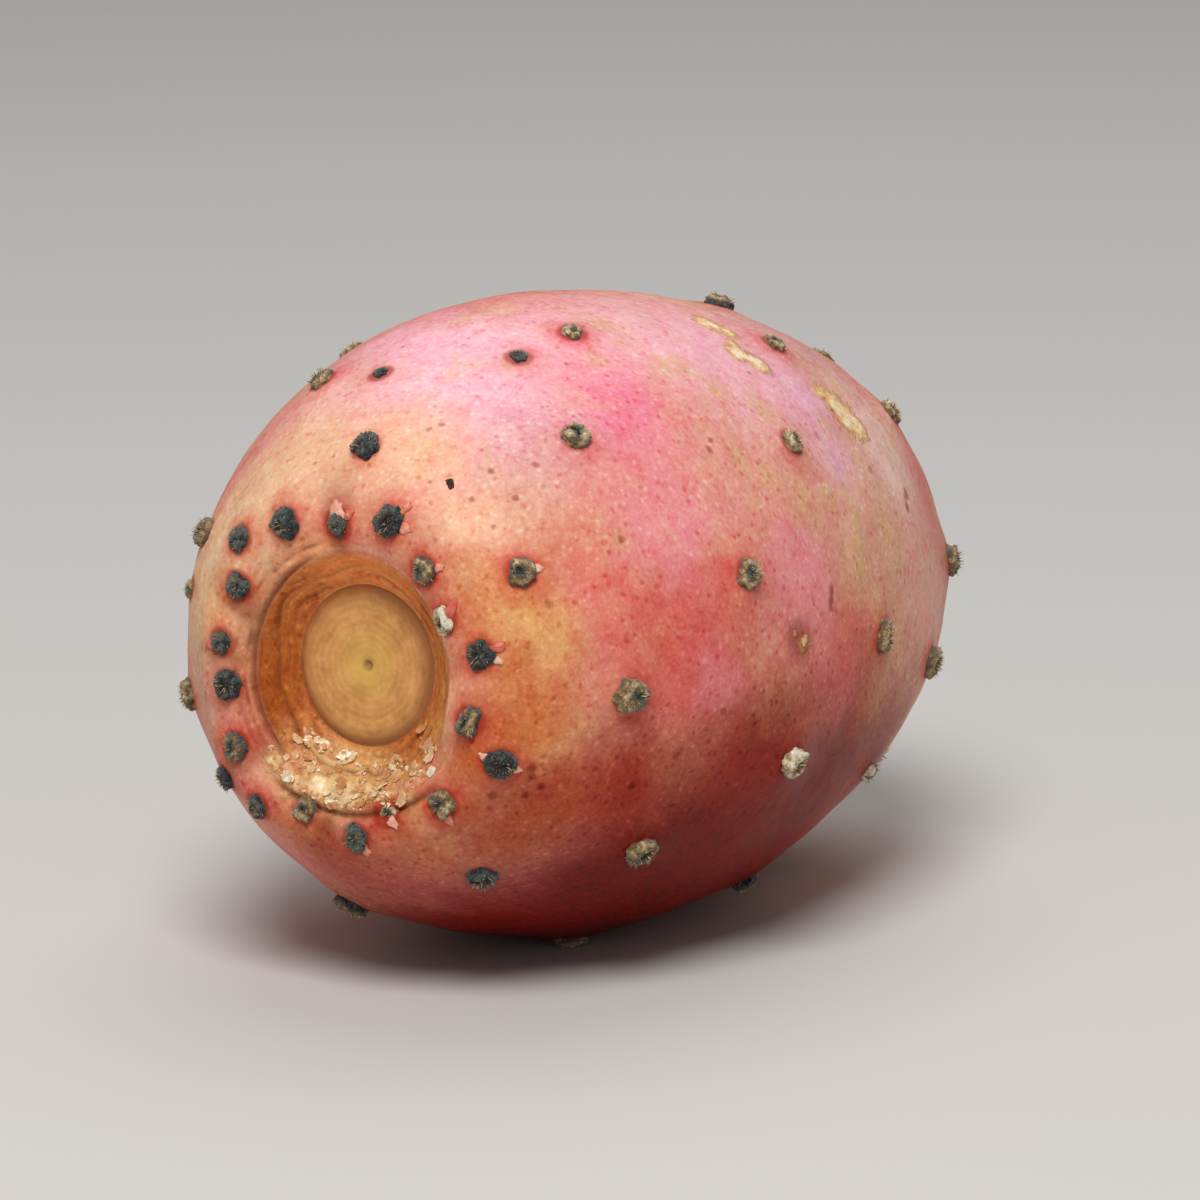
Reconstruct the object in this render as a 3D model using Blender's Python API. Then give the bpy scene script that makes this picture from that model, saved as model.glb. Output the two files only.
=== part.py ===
# A whole prickly pear fruit, lying on its side as it rests by itself. Metres, +Z up.
# The fruit's own axis runs along X: the sunken flower scar (the crown) is at -X and the stem scar at +X.
# The origin is the middle of the small flat spot that the fruit rests on, straight below its weight.
# The fruit grew as one piece, so it is one solid: its skin, both scars and the felt cushions (areoles)
# that stand out of the skin.

import bisect
import math
import random

import bmesh
import bpy
from mathutils import Matrix, Vector

MM = 0.001

# The body is turned round the axis. Its outline is a stretched sine, from the crown's edge over the belly
# to the stem.
WIDTH = 56.0 * MM
LENGTH = 82.0 * MM
BELLY_AT = 0.39  # share of the length, counted from the crown
CROWN_SHARE = 0.53  # radius of the crown's edge, as a share of the belly's
STEM_SHARE = 0.165
CROWN_POWER = 1.52  # lower is fuller
STEM_POWER = 1.02
WAVE_HEIGHT = 0.22 * MM  # the body's slight lobes

# The crown: a flat shoulder, a lip that is an upright oval a little below the axis, and a sunken round floor.
LIP_RADIUS = 10.5 * MM
LIP_STRETCH = 0.03
LIP_DROP = 1.0 * MM
LIP_FADE = 9.0 * MM  # how far along the skin the lip's offset dies away
LIP_SWELL = 0.3 * MM
FLOOR_RADIUS = 6.7 * MM
FLOOR_OFFSET = 0.5  # the floor's share of the lip's offset
CROWN_WALL = (  # radius and depth, from the lip's crest in to the floor, in millimetres
    (10.0, 0.35),
    (8.7, 1.45),
    (7.5, 2.3),
    (6.7, 2.6),
    (4.2, 2.65),
    (1.4, 2.75),
)
CROWN_DIMPLE = 3.0 * MM

# The stem scar: a corky, lumpy ring round a shallow dish.
STEM_RING = (  # radius and height above the body's end, in millimetres
    (5.3, 0.0),
    (5.15, 0.75),
    (4.5, 1.2),
    (3.7, 0.8),
    (2.2, 0.05),
)
STEM_DISH = -0.15 * MM
STEM_LUMP = 0.22  # how uneven the ring is, as a share of its height

# How the fruit lies
REST_AT = 38.0 * MM  # where its weight is along the axis, from the crown
REST_TILT = 2.6  # degrees, the crown up
FLAT_DEPTH = 0.5 * MM  # how much the resting spot is pressed flat

# The skin's mesh
SIDES = 48
BODY_RINGS = 27
SHOULDER_RINGS = (0.0, 0.3, 0.65)  # shares of the way from the lip's crest to the body

# Areoles follow one spiral from the crown to the stem. The first ones crowd in a ring round the lip, a
# little closer towards its top, the next ones climb the body in even steps, and the last ones draw closer
# towards the stem.
AREOLES = 69
FIRST_ANGLE = 293.5  # degrees round the axis, from straight up towards +Y
DIVERGENCE = -151.2
GATHER = 8.0  # degrees
RING_START = 0.8 * MM  # distances are along the skin, from the lip's crest
RING_STEP = 0.15 * MM
RING_COUNT = 19
RING_GAP = 2.5 * MM  # the extra step from the ring to the body
BODY_STEP = 1.79 * MM
CROWDING_FROM = 42
CROWDING = 0.027 * MM
JITTER_ALONG = 0.25 * MM
JITTER_ROUND = 0.8
JITTER_SIZE = 0.12
SEED = 7

# Areoles that stand off the spiral: millimetres along the skin and degrees round it.
STRAYS = {
    1: (4, 6),
    4: (3, 4),
    5: (1, -5.5),
    9: (-0.5, -6),
    10: (1, 0),
    11: (0, -3),
    12: (0.5, -2.5),
    14: (0, 3),
    16: (-0.5, -3),
    17: (2.5, 0),
    18: (-1, -2.5),
    19: (2, -3.5),
    20: (-2, -18),
    21: (-1.5, 2.5),
    22: (-0.5, 2.5),
    23: (-3, 9),
    25: (-7, -8),
    27: (-2.5, -6),
    28: (-4, 7),
    29: (-3, 3.5),
    33: (-2.5, 0.5),
    36: (-2.5, 0),
    43: (-1, -2.5),
    45: (-1.5, 0),
    48: (-3.5, 2.5),
    52: (-6, 0),
    55: (-4.5, 0),
    57: (-2, -2),
    62: (0, -4),
    64: (0, 8),
}
FALLEN = (2, 40, 50)  # rubbed off
EXTRAS = (  # small ones between the others: distance, angle and size
    (10.0, 77, 0.6),
    (18.0, 10, 0.5),
    (24.0, 346, 0.7),
)

# One areole: a low felt cushion, a little longer than wide, whose lower half is sunk in the skin.
CUSHION_LENGTH = 3.1 * MM
CUSHION_WIDTH = 2.75 * MM
CUSHION_HEIGHT = 1.15 * MM
CUSHION_SIDES = 8
CUSHION_RINGS = 6

MERGE_DISTANCE = 0.03 * MM

SKIN_COLOR = (0.62, 0.16, 0.16, 1.0)
SKIN_ROUGHNESS = 0.48


def clear_scene():
    for item in list(bpy.data.objects):
        bpy.data.objects.remove(item)


def outline(turn):
    """Place along the axis and radius, for a turn from 0 at the crown's edge to 1 at the stem."""
    along = -math.cos(turn * math.pi)
    height = math.sin(turn * math.pi)
    if turn < 0.5:
        share = CROWN_SHARE + (1 - CROWN_SHARE) * height**CROWN_POWER
        return LENGTH * BELLY_AT * (1 + along), WIDTH / 2 * share
    share = STEM_SHARE + (1 - STEM_SHARE) * height**STEM_POWER
    return LENGTH * (BELLY_AT + (1 - BELLY_AT) * along), WIDTH / 2 * share


def shoulder(share):
    """The crown's flat shoulder, for a share from 0 at the lip's crest to 1 at the body."""
    edge = WIDTH / 2 * CROWN_SHARE
    radius = LIP_RADIUS + (edge - LIP_RADIUS) * share
    return -LIP_SWELL * math.sin(math.pi * share), radius


def measure_skin(shoulder_steps=40, body_steps=600):
    """Distance along the skin from the lip's crest, the place and radius there, and where the body starts."""
    points = [shoulder(i / shoulder_steps) for i in range(shoulder_steps)]
    points += [outline(i / body_steps) for i in range(body_steps + 1)]
    distances = [0.0]
    for before, after in zip(points, points[1:]):
        distances.append(distances[-1] + math.dist(before, after))
    return distances, points, distances[shoulder_steps]


DISTANCES, PROFILE, BODY_START = measure_skin()


def profile_at(distance):
    """Place along the axis and radius at a distance along the skin."""
    k = min(max(bisect.bisect(DISTANCES, distance), 1), len(DISTANCES) - 1)
    share = (distance - DISTANCES[k - 1]) / (DISTANCES[k] - DISTANCES[k - 1])
    before, after = PROFILE[k - 1], PROFILE[k]
    return tuple(a + (b - a) * share for a, b in zip(before, after))


def ring_point(along, radius, angle, offset):
    """A point of a ring round the axis. Offset, from 0 to 1, is its share of the lip's drop and oval."""
    side = radius * (1 - LIP_STRETCH * offset) * math.sin(angle)
    up = radius * (1 + LIP_STRETCH * offset) * math.cos(angle) - LIP_DROP * offset
    return Vector((along - REST_AT, side, up))


def skin_point(distance, angle):
    """A point of the outer skin, from the lip's crest to the stem."""
    along, radius = profile_at(distance)
    share = min(max(along / LENGTH, 0), 1)
    lobes = math.sin(2 * angle + 0.6)
    lobes += 0.7 * math.sin(3 * angle + 4 * share)
    lobes += 0.5 * math.sin(5 * angle - 3 * share)
    radius += WAVE_HEIGHT * math.sin(math.pi * share) * lobes
    return ring_point(along, radius, angle, math.exp(-distance / LIP_FADE))


def skin_frame(distance, angle):
    """The skin's own axes at a point: X towards the stem, Y round the fruit, Z out of it."""
    step = 0.2 * MM
    origin = skin_point(distance, angle)
    forward = skin_point(distance + step, angle) - skin_point(distance - step, angle)
    across = skin_point(distance, angle + 0.01) - skin_point(distance, angle - 0.01)
    out = forward.cross(across).normalized()
    forward.normalize()
    around = out.cross(forward).normalized()
    return Matrix((forward, around, out)).transposed().to_4x4(), origin


def skin_rings():
    """Every ring of the skin, from the crown's floor to the stem scar, each as a function of the angle."""
    rings = []
    for radius, depth in reversed(CROWN_WALL):
        rise = max(0.0, (radius * MM - FLOOR_RADIUS) / (LIP_RADIUS - FLOOR_RADIUS))
        offset = FLOOR_OFFSET + (1 - FLOOR_OFFSET) * rise
        rings.append(lambda a, r=radius, d=depth, o=offset: ring_point(d * MM, r * MM, a, o))
    outer = [BODY_START * share for share in SHOULDER_RINGS]
    outer += [BODY_START + (DISTANCES[-1] - BODY_START) * i / BODY_RINGS for i in range(BODY_RINGS)]
    for distance in outer:
        rings.append(lambda a, d=distance: skin_point(d, a))
    for radius, height in STEM_RING:
        rings.append(lambda a, r=radius, h=height: stem_point(r * MM, h * MM, a))
    return rings


def stem_point(radius, height, angle):
    """A point of the stem scar, with its lumps."""
    lumps = math.sin(2 * angle + 0.8) + 0.8 * math.sin(3 * angle + 2.1) + 0.6 * math.sin(7 * angle)
    raised = height * (1 + STEM_LUMP * lumps)
    return ring_point(LENGTH + raised, radius * (1 + 0.03 * lumps), angle, 0.0)


def bridge(bm, lower, upper):
    for i in range(SIDES):
        after = (i + 1) % SIDES
        bm.faces.new((lower[i], lower[after], upper[after], upper[i]))


def make_skin():
    """The fruit without its areoles, closed at the crown's floor and in the stem scar."""
    bm = bmesh.new()
    angles = [math.tau * i / SIDES for i in range(SIDES)]
    loops = [[bm.verts.new(ring(a)) for a in angles] for ring in skin_rings()]
    for lower, upper in zip(loops, loops[1:]):
        bridge(bm, lower, upper)
    ends = (
        (loops[0], ring_point(CROWN_DIMPLE, 0, 0, FLOOR_OFFSET)),
        (loops[-1], ring_point(LENGTH + STEM_DISH, 0, 0, 0)),
    )
    for loop, place in ends:
        middle = bm.verts.new(place)
        for i in range(SIDES):
            bm.faces.new((loop[i], loop[(i + 1) % SIDES], middle))
    bmesh.ops.recalc_face_normals(bm, faces=bm.faces)
    mesh = bpy.data.meshes.new("fruit")
    bm.to_mesh(mesh)
    bm.free()
    fruit = bpy.data.objects.new("fruit", mesh)
    bpy.context.scene.collection.objects.link(fruit)
    return fruit


def lay_down(fruit):
    """Tilts the fruit to its natural rest and lowers it until the flat spot's plane is at Z = 0."""
    fruit.rotation_euler.y = math.radians(REST_TILT)
    bpy.context.view_layer.update()
    lowest = min((fruit.matrix_world @ vertex.co).z for vertex in fruit.data.vertices)
    fruit.location.z = -lowest - FLAT_DEPTH
    bpy.context.view_layer.update()


def spiral_place(index):
    """Distance along the skin and angle of one areole of the spiral."""
    distance = RING_START + RING_STEP * index
    if index >= RING_COUNT:
        distance += RING_GAP + BODY_STEP * (index - RING_COUNT)
    if index > CROWDING_FROM:
        distance -= CROWDING * (index - CROWDING_FROM) ** 2
    angle = FIRST_ANGLE + DIVERGENCE * index
    angle -= GATHER * math.sin(math.radians(angle)) * math.exp(-distance / LIP_FADE)
    return distance, angle


def areole_places():
    """Distance, angle in radians and size of every areole."""
    draw = random.Random(SEED)
    places = []
    for index in range(AREOLES):
        distance, angle = spiral_place(index)
        along, round_it = STRAYS.get(index, (0, 0))
        distance += along * MM + draw.uniform(-JITTER_ALONG, JITTER_ALONG)
        angle += round_it + draw.uniform(-JITTER_ROUND, JITTER_ROUND)
        size = 1 + draw.uniform(-JITTER_SIZE, JITTER_SIZE)
        if index not in FALLEN:
            places.append((distance, math.radians(angle), size))
    for distance, angle, size in EXTRAS:
        places.append((distance * MM, math.radians(angle), size))
    return places


def make_areole(fruit, collection, distance, angle, size):
    """One felt cushion, turned to stand square on the skin."""
    turn, origin = skin_frame(distance, angle)
    bm = bmesh.new()
    bmesh.ops.create_uvsphere(bm, u_segments=CUSHION_SIDES, v_segments=CUSHION_RINGS, radius=1)
    stretch = Matrix.Diagonal((CUSHION_LENGTH / 2, CUSHION_WIDTH / 2, CUSHION_HEIGHT, 1))
    place = Matrix.Translation(origin) @ turn @ stretch @ Matrix.Scale(size, 4)
    bmesh.ops.transform(bm, matrix=place, verts=bm.verts)
    mesh = bpy.data.meshes.new("areole")
    bm.to_mesh(mesh)
    bm.free()
    areole = bpy.data.objects.new("areole", mesh)
    areole.matrix_world = fruit.matrix_world
    areole.hide_render = True
    areole.display_type = "WIRE"
    collection.objects.link(areole)


def apply_modifiers(target):
    depsgraph = bpy.context.evaluated_depsgraph_get()
    finished = bpy.data.meshes.new_from_object(target.evaluated_get(depsgraph))
    target.modifiers.clear()
    target.data = finished


def fuse_areoles(fruit):
    """Joins every areole to the skin by one Boolean union."""
    collection = bpy.data.collections.new("areoles")
    bpy.context.scene.collection.children.link(collection)
    for distance, angle, size in areole_places():
        make_areole(fruit, collection, distance, angle, size)
    union = fruit.modifiers.new("areoles", "BOOLEAN")
    union.operation = "UNION"
    union.operand_type = "COLLECTION"
    union.collection = collection
    union.solver = "EXACT"
    apply_modifiers(fruit)
    for areole in list(collection.objects):
        bpy.data.objects.remove(areole)
    bpy.data.collections.remove(collection)


def press_flat(fruit):
    """Cuts the resting spot flat at Z = 0."""
    depth = 10 * MM
    bpy.ops.mesh.primitive_cube_add(size=1, location=(0, 0, -depth / 2))
    cutter = bpy.context.active_object
    cutter.name = "surface_cutter"
    cutter.scale = (2 * LENGTH, 2 * WIDTH, depth)
    cutter.hide_render = True
    cutter.display_type = "WIRE"
    bpy.context.view_layer.update()
    cut = fruit.modifiers.new("flat_spot", "BOOLEAN")
    cut.operation = "DIFFERENCE"
    cut.object = cutter
    cut.solver = "EXACT"
    apply_modifiers(fruit)
    bpy.data.objects.remove(cutter)


def tidy_mesh(fruit):
    """Merges points that the cuts left on top of each other, and splits the faces into triangles."""
    bm = bmesh.new()
    bm.from_mesh(fruit.data)
    bmesh.ops.remove_doubles(bm, verts=bm.verts, dist=MERGE_DISTANCE)
    bmesh.ops.dissolve_degenerate(bm, edges=bm.edges, dist=MERGE_DISTANCE)
    bmesh.ops.triangulate(bm, faces=bm.faces)
    bm.to_mesh(fruit.data)
    bm.free()


def skin_material():
    material = bpy.data.materials.new("waxy_skin")
    material.use_nodes = True
    shader = material.node_tree.nodes["Principled BSDF"]
    shader.inputs["Base Color"].default_value = SKIN_COLOR
    shader.inputs["Roughness"].default_value = SKIN_ROUGHNESS
    shader.inputs["Metallic"].default_value = 0.0
    return material


def main():
    clear_scene()
    fruit = make_skin()
    lay_down(fruit)
    fuse_areoles(fruit)
    press_flat(fruit)
    tidy_mesh(fruit)
    fruit.data.materials.clear()
    fruit.data.materials.append(skin_material())
    fruit.data.shade_smooth()
    fruit.data.set_sharp_from_angle(angle=math.radians(50))


main()
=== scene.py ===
# The looks of a prickly pear fruit that lies on its side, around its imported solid.
# Every piece is modelled in millimetres round the fruit's own axis, which runs along X from the sunken
# flower scar (the crown) to the stem scar, and is then laid down as the solid lies, in metres.
# A place on the skin is a distance along it from the crest of the crown's lip, in millimetres, and an
# angle round the axis, in degrees from straight up towards +Y. The camera faces the angles round 270.

import bisect
import math
import random

import bpy
from mathutils import Matrix, Vector, kdtree
from mathutils.noise import noise


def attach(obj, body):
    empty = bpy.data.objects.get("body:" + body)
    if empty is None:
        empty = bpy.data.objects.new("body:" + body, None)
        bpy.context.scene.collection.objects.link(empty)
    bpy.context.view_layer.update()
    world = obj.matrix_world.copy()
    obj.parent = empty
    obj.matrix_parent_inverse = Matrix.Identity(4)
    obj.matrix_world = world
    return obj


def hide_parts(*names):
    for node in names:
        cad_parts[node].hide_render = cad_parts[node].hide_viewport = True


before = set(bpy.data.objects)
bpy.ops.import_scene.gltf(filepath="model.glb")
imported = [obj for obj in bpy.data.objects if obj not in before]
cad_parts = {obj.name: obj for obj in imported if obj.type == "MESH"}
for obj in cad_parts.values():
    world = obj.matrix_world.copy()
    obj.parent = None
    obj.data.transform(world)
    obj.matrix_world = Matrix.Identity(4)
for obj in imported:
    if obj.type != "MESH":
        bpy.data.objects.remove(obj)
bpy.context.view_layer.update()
bpy.ops.object.select_all(action="DESELECT")
mm = 0.001

# the fruit's outline, turned round the axis
fruit = {
    "width": 56.0,
    "length": 82.0,
    "bellyAt": 0.39,  # share of the length
    "crownShare": 0.53,  # radii at the two ends, as shares of the belly's
    "stemShare": 0.165,
    "crownPower": 1.52,  # lower is fuller
    "stemPower": 1.02,
    "lobes": 0.22,
    "restAt": 38.0,
    "restTilt": 2.6,  # degrees, the crown up
    "restHeight": 27.386,
}

# the crown: a lip that is an upright oval a little below the axis, round a sunken floor
crown = {
    "lipRadius": 10.5,
    "lipStretch": 0.03,
    "lipDrop": 1.0,
    "lipFade": 9.0,
    "lipSwell": 0.3,
    "floorRadius": 6.7,
    "floorEdge": 6.75,
    "floorOffset": 0.5,
    "bowl": ((0, 2.95), (1.4, 2.75), (4.2, 2.65), (6.3, 2.6), (6.75, 2.85), (7.2, 2.45), (8.7, 1.45),
             (9.6, 0.6), (10.1, 0.2), (10.5, 0.0)),  # radius and depth
    "wallFade": (6.9, 7.5, 9.3, 10.4),  # radii between which the wall has its creases
    "wallRidges": (  # mm between them, how they wander and shift, and how strength comes and goes
        (1.25, 1.0, 0.0, 0.55, 0.9, 2.2, 0.5, 1.0), (0.55, 1.4, 0.6, 0.1, 1.3, 3.5, 1.3, 0.55),
    ),
    "wallCrease": 0.34,
    "wallLine": (28, 138, 10.0, 0.1),  # from and to in degrees, radius and depth
    "floorFade": (5.9, 6.6),  # radii over which the floor ends
    "floorRings": 0.55,  # mm between its fine rings
    "pit": (0.35, 0.3),  # depth and reach
    "lipCrease": (150, 222, 1.2, 0.45),  # from and to in degrees, distance from the crest, and depth
    "outerRidges": (8, 142, 2.6, 0.22),  # from and to in degrees, how far out they reach, and depth
}

# the stem scar: radius and height above the body's end
stem = {
    "ring": ((6.3, -0.2), (5.6, -0.3), (5.25, 0.1), (5.2, 0.6), (4.95, 1.05), (4.5, 1.2), (3.7, 0.8),
             (2.8, 0.3), (1.5, 0.0), (0, -0.15)),
    "edge": 5.5,  # radius where the cork ends
    "lump": 0.22,
    "rough": (0.2, 0.14),  # of the cork's grain and of its rays
    "roughEnd": (5.2, 6.2),  # radii over which it fades
    # the dark line round the ring is painted shade in its crease
    "crease": (5.6, 0.4),  # radius and half width of the dark line round the ring
    "bodyEnd": 97.8,
    "pucker": 0.35,
}


def bodyOutline(turn):
    along = -math.cos(turn * math.pi)
    height = math.sin(turn * math.pi)
    if turn < 0.5:
        share = fruit["crownShare"] + (1 - fruit["crownShare"]) * height ** fruit["crownPower"]
        return fruit["length"] * fruit["bellyAt"] * (1 + along), fruit["width"] / 2 * share
    share = fruit["stemShare"] + (1 - fruit["stemShare"]) * height ** fruit["stemPower"]
    place = fruit["bellyAt"] + (1 - fruit["bellyAt"]) * along
    return fruit["length"] * place, fruit["width"] / 2 * share


def shoulderOutline(share):
    edge = fruit["width"] / 2 * fruit["crownShare"]
    radius = crown["lipRadius"] + (edge - crown["lipRadius"]) * share
    return -crown["lipSwell"] * math.sin(math.pi * share), radius


def measureSkin(shoulderSteps=40, bodySteps=600):
    points = [shoulderOutline(i / shoulderSteps) for i in range(shoulderSteps)]
    points += [bodyOutline(i / bodySteps) for i in range(bodySteps + 1)]
    lengths = [0.0]
    for before, after in zip(points, points[1:]):
        lengths.append(lengths[-1] + math.dist(before, after))
    return lengths, points, lengths[shoulderSteps]


skinLengths, skinOutline, bodyStart = measureSkin()


def outlineAt(distance):
    k = min(max(bisect.bisect(skinLengths, distance), 1), len(skinLengths) - 1)
    share = (distance - skinLengths[k - 1]) / (skinLengths[k] - skinLengths[k - 1])
    before, after = skinOutline[k - 1], skinOutline[k]
    return before[0] + (after[0] - before[0]) * share, before[1] + (after[1] - before[1]) * share


def ringPoint(along, radius, angle, offset):
    side = radius * (1 - crown["lipStretch"] * offset) * math.sin(angle)
    up = radius * (1 + crown["lipStretch"] * offset) * math.cos(angle) - crown["lipDrop"] * offset
    return Vector((along - fruit["restAt"], side, up))


def skinPoint(distance, angle):
    along, radius = outlineAt(distance)
    share = min(max(along / fruit["length"], 0), 1)
    lobes = math.sin(2 * angle + 0.6) + 0.7 * math.sin(3 * angle + 4 * share)
    lobes += 0.5 * math.sin(5 * angle - 3 * share)
    radius += fruit["lobes"] * math.sin(math.pi * share) * lobes
    return ringPoint(along, radius, angle, math.exp(-distance / crown["lipFade"]))


# the skin's own axes at a place: X towards the stem, Y round the fruit, Z out of it
def skinAxes(distance, angle):
    forward = skinPoint(distance + 0.2, angle) - skinPoint(distance - 0.2, angle)
    across = skinPoint(distance, angle + 0.01) - skinPoint(distance, angle - 0.01)
    out = forward.cross(across).normalized()
    forward.normalize()
    return forward, out.cross(forward).normalized(), out


def smoothStep(low, high, value):
    share = min(max((value - low) / (high - low), 0), 1)
    return share * share * (3 - 2 * share)


# rises to one, stays there and falls again
def window(value, start, full, fall, end):
    return smoothStep(start, full, value) * (1 - smoothStep(fall, end, value))


def turnedBy(angle, radius, along):
    return Vector((math.cos(angle) * radius, math.sin(angle) * radius, along))


# areoles follow one spiral from the crown to the stem, as they do in the solid
areoles = {
    "count": 69,
    "firstAngle": 293.5,
    "divergence": -151.2,
    "gather": 8.0,
    "ringStart": 0.8,
    "ringStep": 0.15,
    "ringCount": 19,
    "ringGap": 2.5,
    "bodyStep": 1.79,
    "crowdingFrom": 42,
    "crowding": 0.027,
    "jitter": (0.25, 0.8, 0.12),  # mm along, degrees round, share of the size
    "seed": 7,
    "fallen": (2, 40, 50),
    "extras": ((10.0, 77, 0.6), (18.0, 10, 0.5), (24.0, 346, 0.7)),
    "mound": 0.42,  # how far the skin swells under each
    "moundReach": 2.9,
}
strays = {
    1: (4, 6), 4: (3, 4), 5: (1, -5.5), 9: (-0.5, -6), 10: (1, 0), 11: (0, -3), 12: (0.5, -2.5), 14: (0, 3),
    16: (-0.5, -3), 17: (2.5, 0), 18: (-1, -2.5), 19: (2, -3.5), 20: (-2, -18), 21: (-1.5, 2.5),
    22: (-0.5, 2.5), 23: (-3, 9), 25: (-7, -8), 27: (-2.5, -6), 28: (-4, 7), 29: (-3, 3.5), 33: (-2.5, 0.5),
    36: (-2.5, 0), 43: (-1, -2.5), 45: (-1.5, 0), 48: (-3.5, 2.5), 52: (-6, 0), 55: (-4.5, 0), 57: (-2, -2),
    62: (0, -4), 64: (0, 8),
}


def spiralPlace(index):
    distance = areoles["ringStart"] + areoles["ringStep"] * index
    if index >= areoles["ringCount"]:
        distance += areoles["ringGap"] + areoles["bodyStep"] * (index - areoles["ringCount"])
    if index > areoles["crowdingFrom"]:
        distance -= areoles["crowding"] * (index - areoles["crowdingFrom"]) ** 2
    angle = areoles["firstAngle"] + areoles["divergence"] * index
    angle -= areoles["gather"] * math.sin(math.radians(angle)) * math.exp(-distance / crown["lipFade"])
    return distance, angle


def placeAreoles():
    draw = random.Random(areoles["seed"])
    jitterAlong, jitterRound, jitterSize = areoles["jitter"]
    places = []
    for index in range(areoles["count"]):
        distance, angle = spiralPlace(index)
        ahead, aside = strays.get(index, (0, 0))
        distance += ahead + draw.uniform(-jitterAlong, jitterAlong)
        angle += aside + draw.uniform(-jitterRound, jitterRound)
        size = 1 + draw.uniform(-jitterSize, jitterSize)
        if index not in areoles["fallen"]:
            places.append((index, distance, math.radians(angle), size))
    for number, (distance, angle, size) in enumerate(areoles["extras"]):
        places.append((100 + number, distance, math.radians(angle), size))
    return places


def plantTree(places):
    tree = kdtree.KDTree(len(places))
    for number, (distance, angle) in enumerate(places):
        tree.insert(skinPoint(distance, angle), number)
    tree.balance()
    return tree


areolePlaces = placeAreoles()
areoleTree = plantTree([place[1:3] for place in areolePlaces])

# blemishes that the skin carries: distance, angle, reach in mm and strength
blemishes = {
    "scar": (  # healed and corky, the last of them on the lower lip
        (56.2, 317.5, 2.2, 0.8), (57.2, 315.2, 3.2, 0.9), (58.2, 312.2, 4.2, 1.0), (59.2, 310, 3.2, 1.0),
        (49.2, 338.1, 2.8, 1.0), (50.3, 335, 2.1, 0.85), (47.2, 328.3, 2.6, 1.0), (48.7, 325.5, 2.8, 1.0),
        (48.4, 331, 1.6, 0.85), (36.5, 272, 1.8, 0.8), (45.2, 34.5, 2.8, 1.0), (58, 75, 3.3, 0.95),
        (57, 70, 2.3, 0.8), (30, 95, 2.0, 0.85), (70, 120, 2.6, 0.95), (75, 20, 2.4, 0.9),
        (66, 215, 2.1, 0.7), (80, 330, 2.4, 0.9),
        (-0.7, 176, 3.0, 0.95), (-0.5, 162, 2.6, 0.95), (-1.0, 191, 2.6, 0.9), (0.5, 150, 2.2, 0.8),
        (0.4, 202, 2.2, 0.9), (-1.6, 168, 2.0, 0.9), (0.9, 212, 2.0, 0.8), (0.3, 136, 2.0, 0.7),
    ),
    "stain": (  # dull yellow-brown
        (36.6, 327, 2.9, 0.9), (34.6, 329, 2.3, 0.8), (38.4, 320.5, 2.7, 0.9), (42.5, 315, 3.2, 0.9),
        (35, 305.5, 3.1, 0.9), (37, 302.5, 2.1, 0.8), (49.5, 292, 2.9, 0.9), (46, 296, 2.3, 0.8),
        (49, 286, 2.5, 0.9), (48.5, 282, 2.1, 0.8), (56.5, 287.5, 2.7, 0.9), (41.5, 298.5, 2.1, 0.8),
        (18, 299.5, 1.7, 0.8), (23, 346, 2.1, 0.7), (52, 309, 2.3, 0.8), (34.5, 344, 2.7, 0.8),
        (29, 336, 1.9, 0.8), (29, 60, 3.3, 0.8), (44, 85, 3.7, 0.8), (57, 25, 3.5, 0.8), (66, 140, 3.3, 0.8),
        (38, 170, 2.9, 0.8), (70, 230, 3.1, 0.8), (78, 290, 3.7, 0.8), (82, 60, 3.9, 0.8),
    ),
}
widestBlemish = max(reach for places in blemishes.values() for distance, angle, reach, strength in places)
blemishTrees = {
    kind: plantTree([(distance, math.radians(angle)) for distance, angle, reach, strength in places])
    for kind, places in blemishes.items()
}


def blemishAt(kind, point):
    strongest = 0.0
    for place, number, away in blemishTrees[kind].find_range(point, widestBlemish):
        distance, angle, reach, strength = blemishes[kind][number]
        strongest = max(strongest, strength * smoothStep(reach, reach * 0.1, away))
    return strongest


# the skin's relief in mm: each swell is a height and how often it repeats in a millimetre
relief = {
    "under": 0.1,  # the skin lies a little under the solid between the areoles
    "swells": ((0.3, 0.09), (0.09, 0.28), (0.03, 0.8)),
    "areoleReach": 8,
    "haloReach": (2.2, 0.6),  # at least, and more by the areole's size
    "lipFolds": (1.5, 8, 0.28),  # distances over which they fade, and height
    "grooveWidth": 0.32,
    "ridgeGap": 0.85,
    "stemFolds": (84, 96),  # distances over which they grow
}
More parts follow.
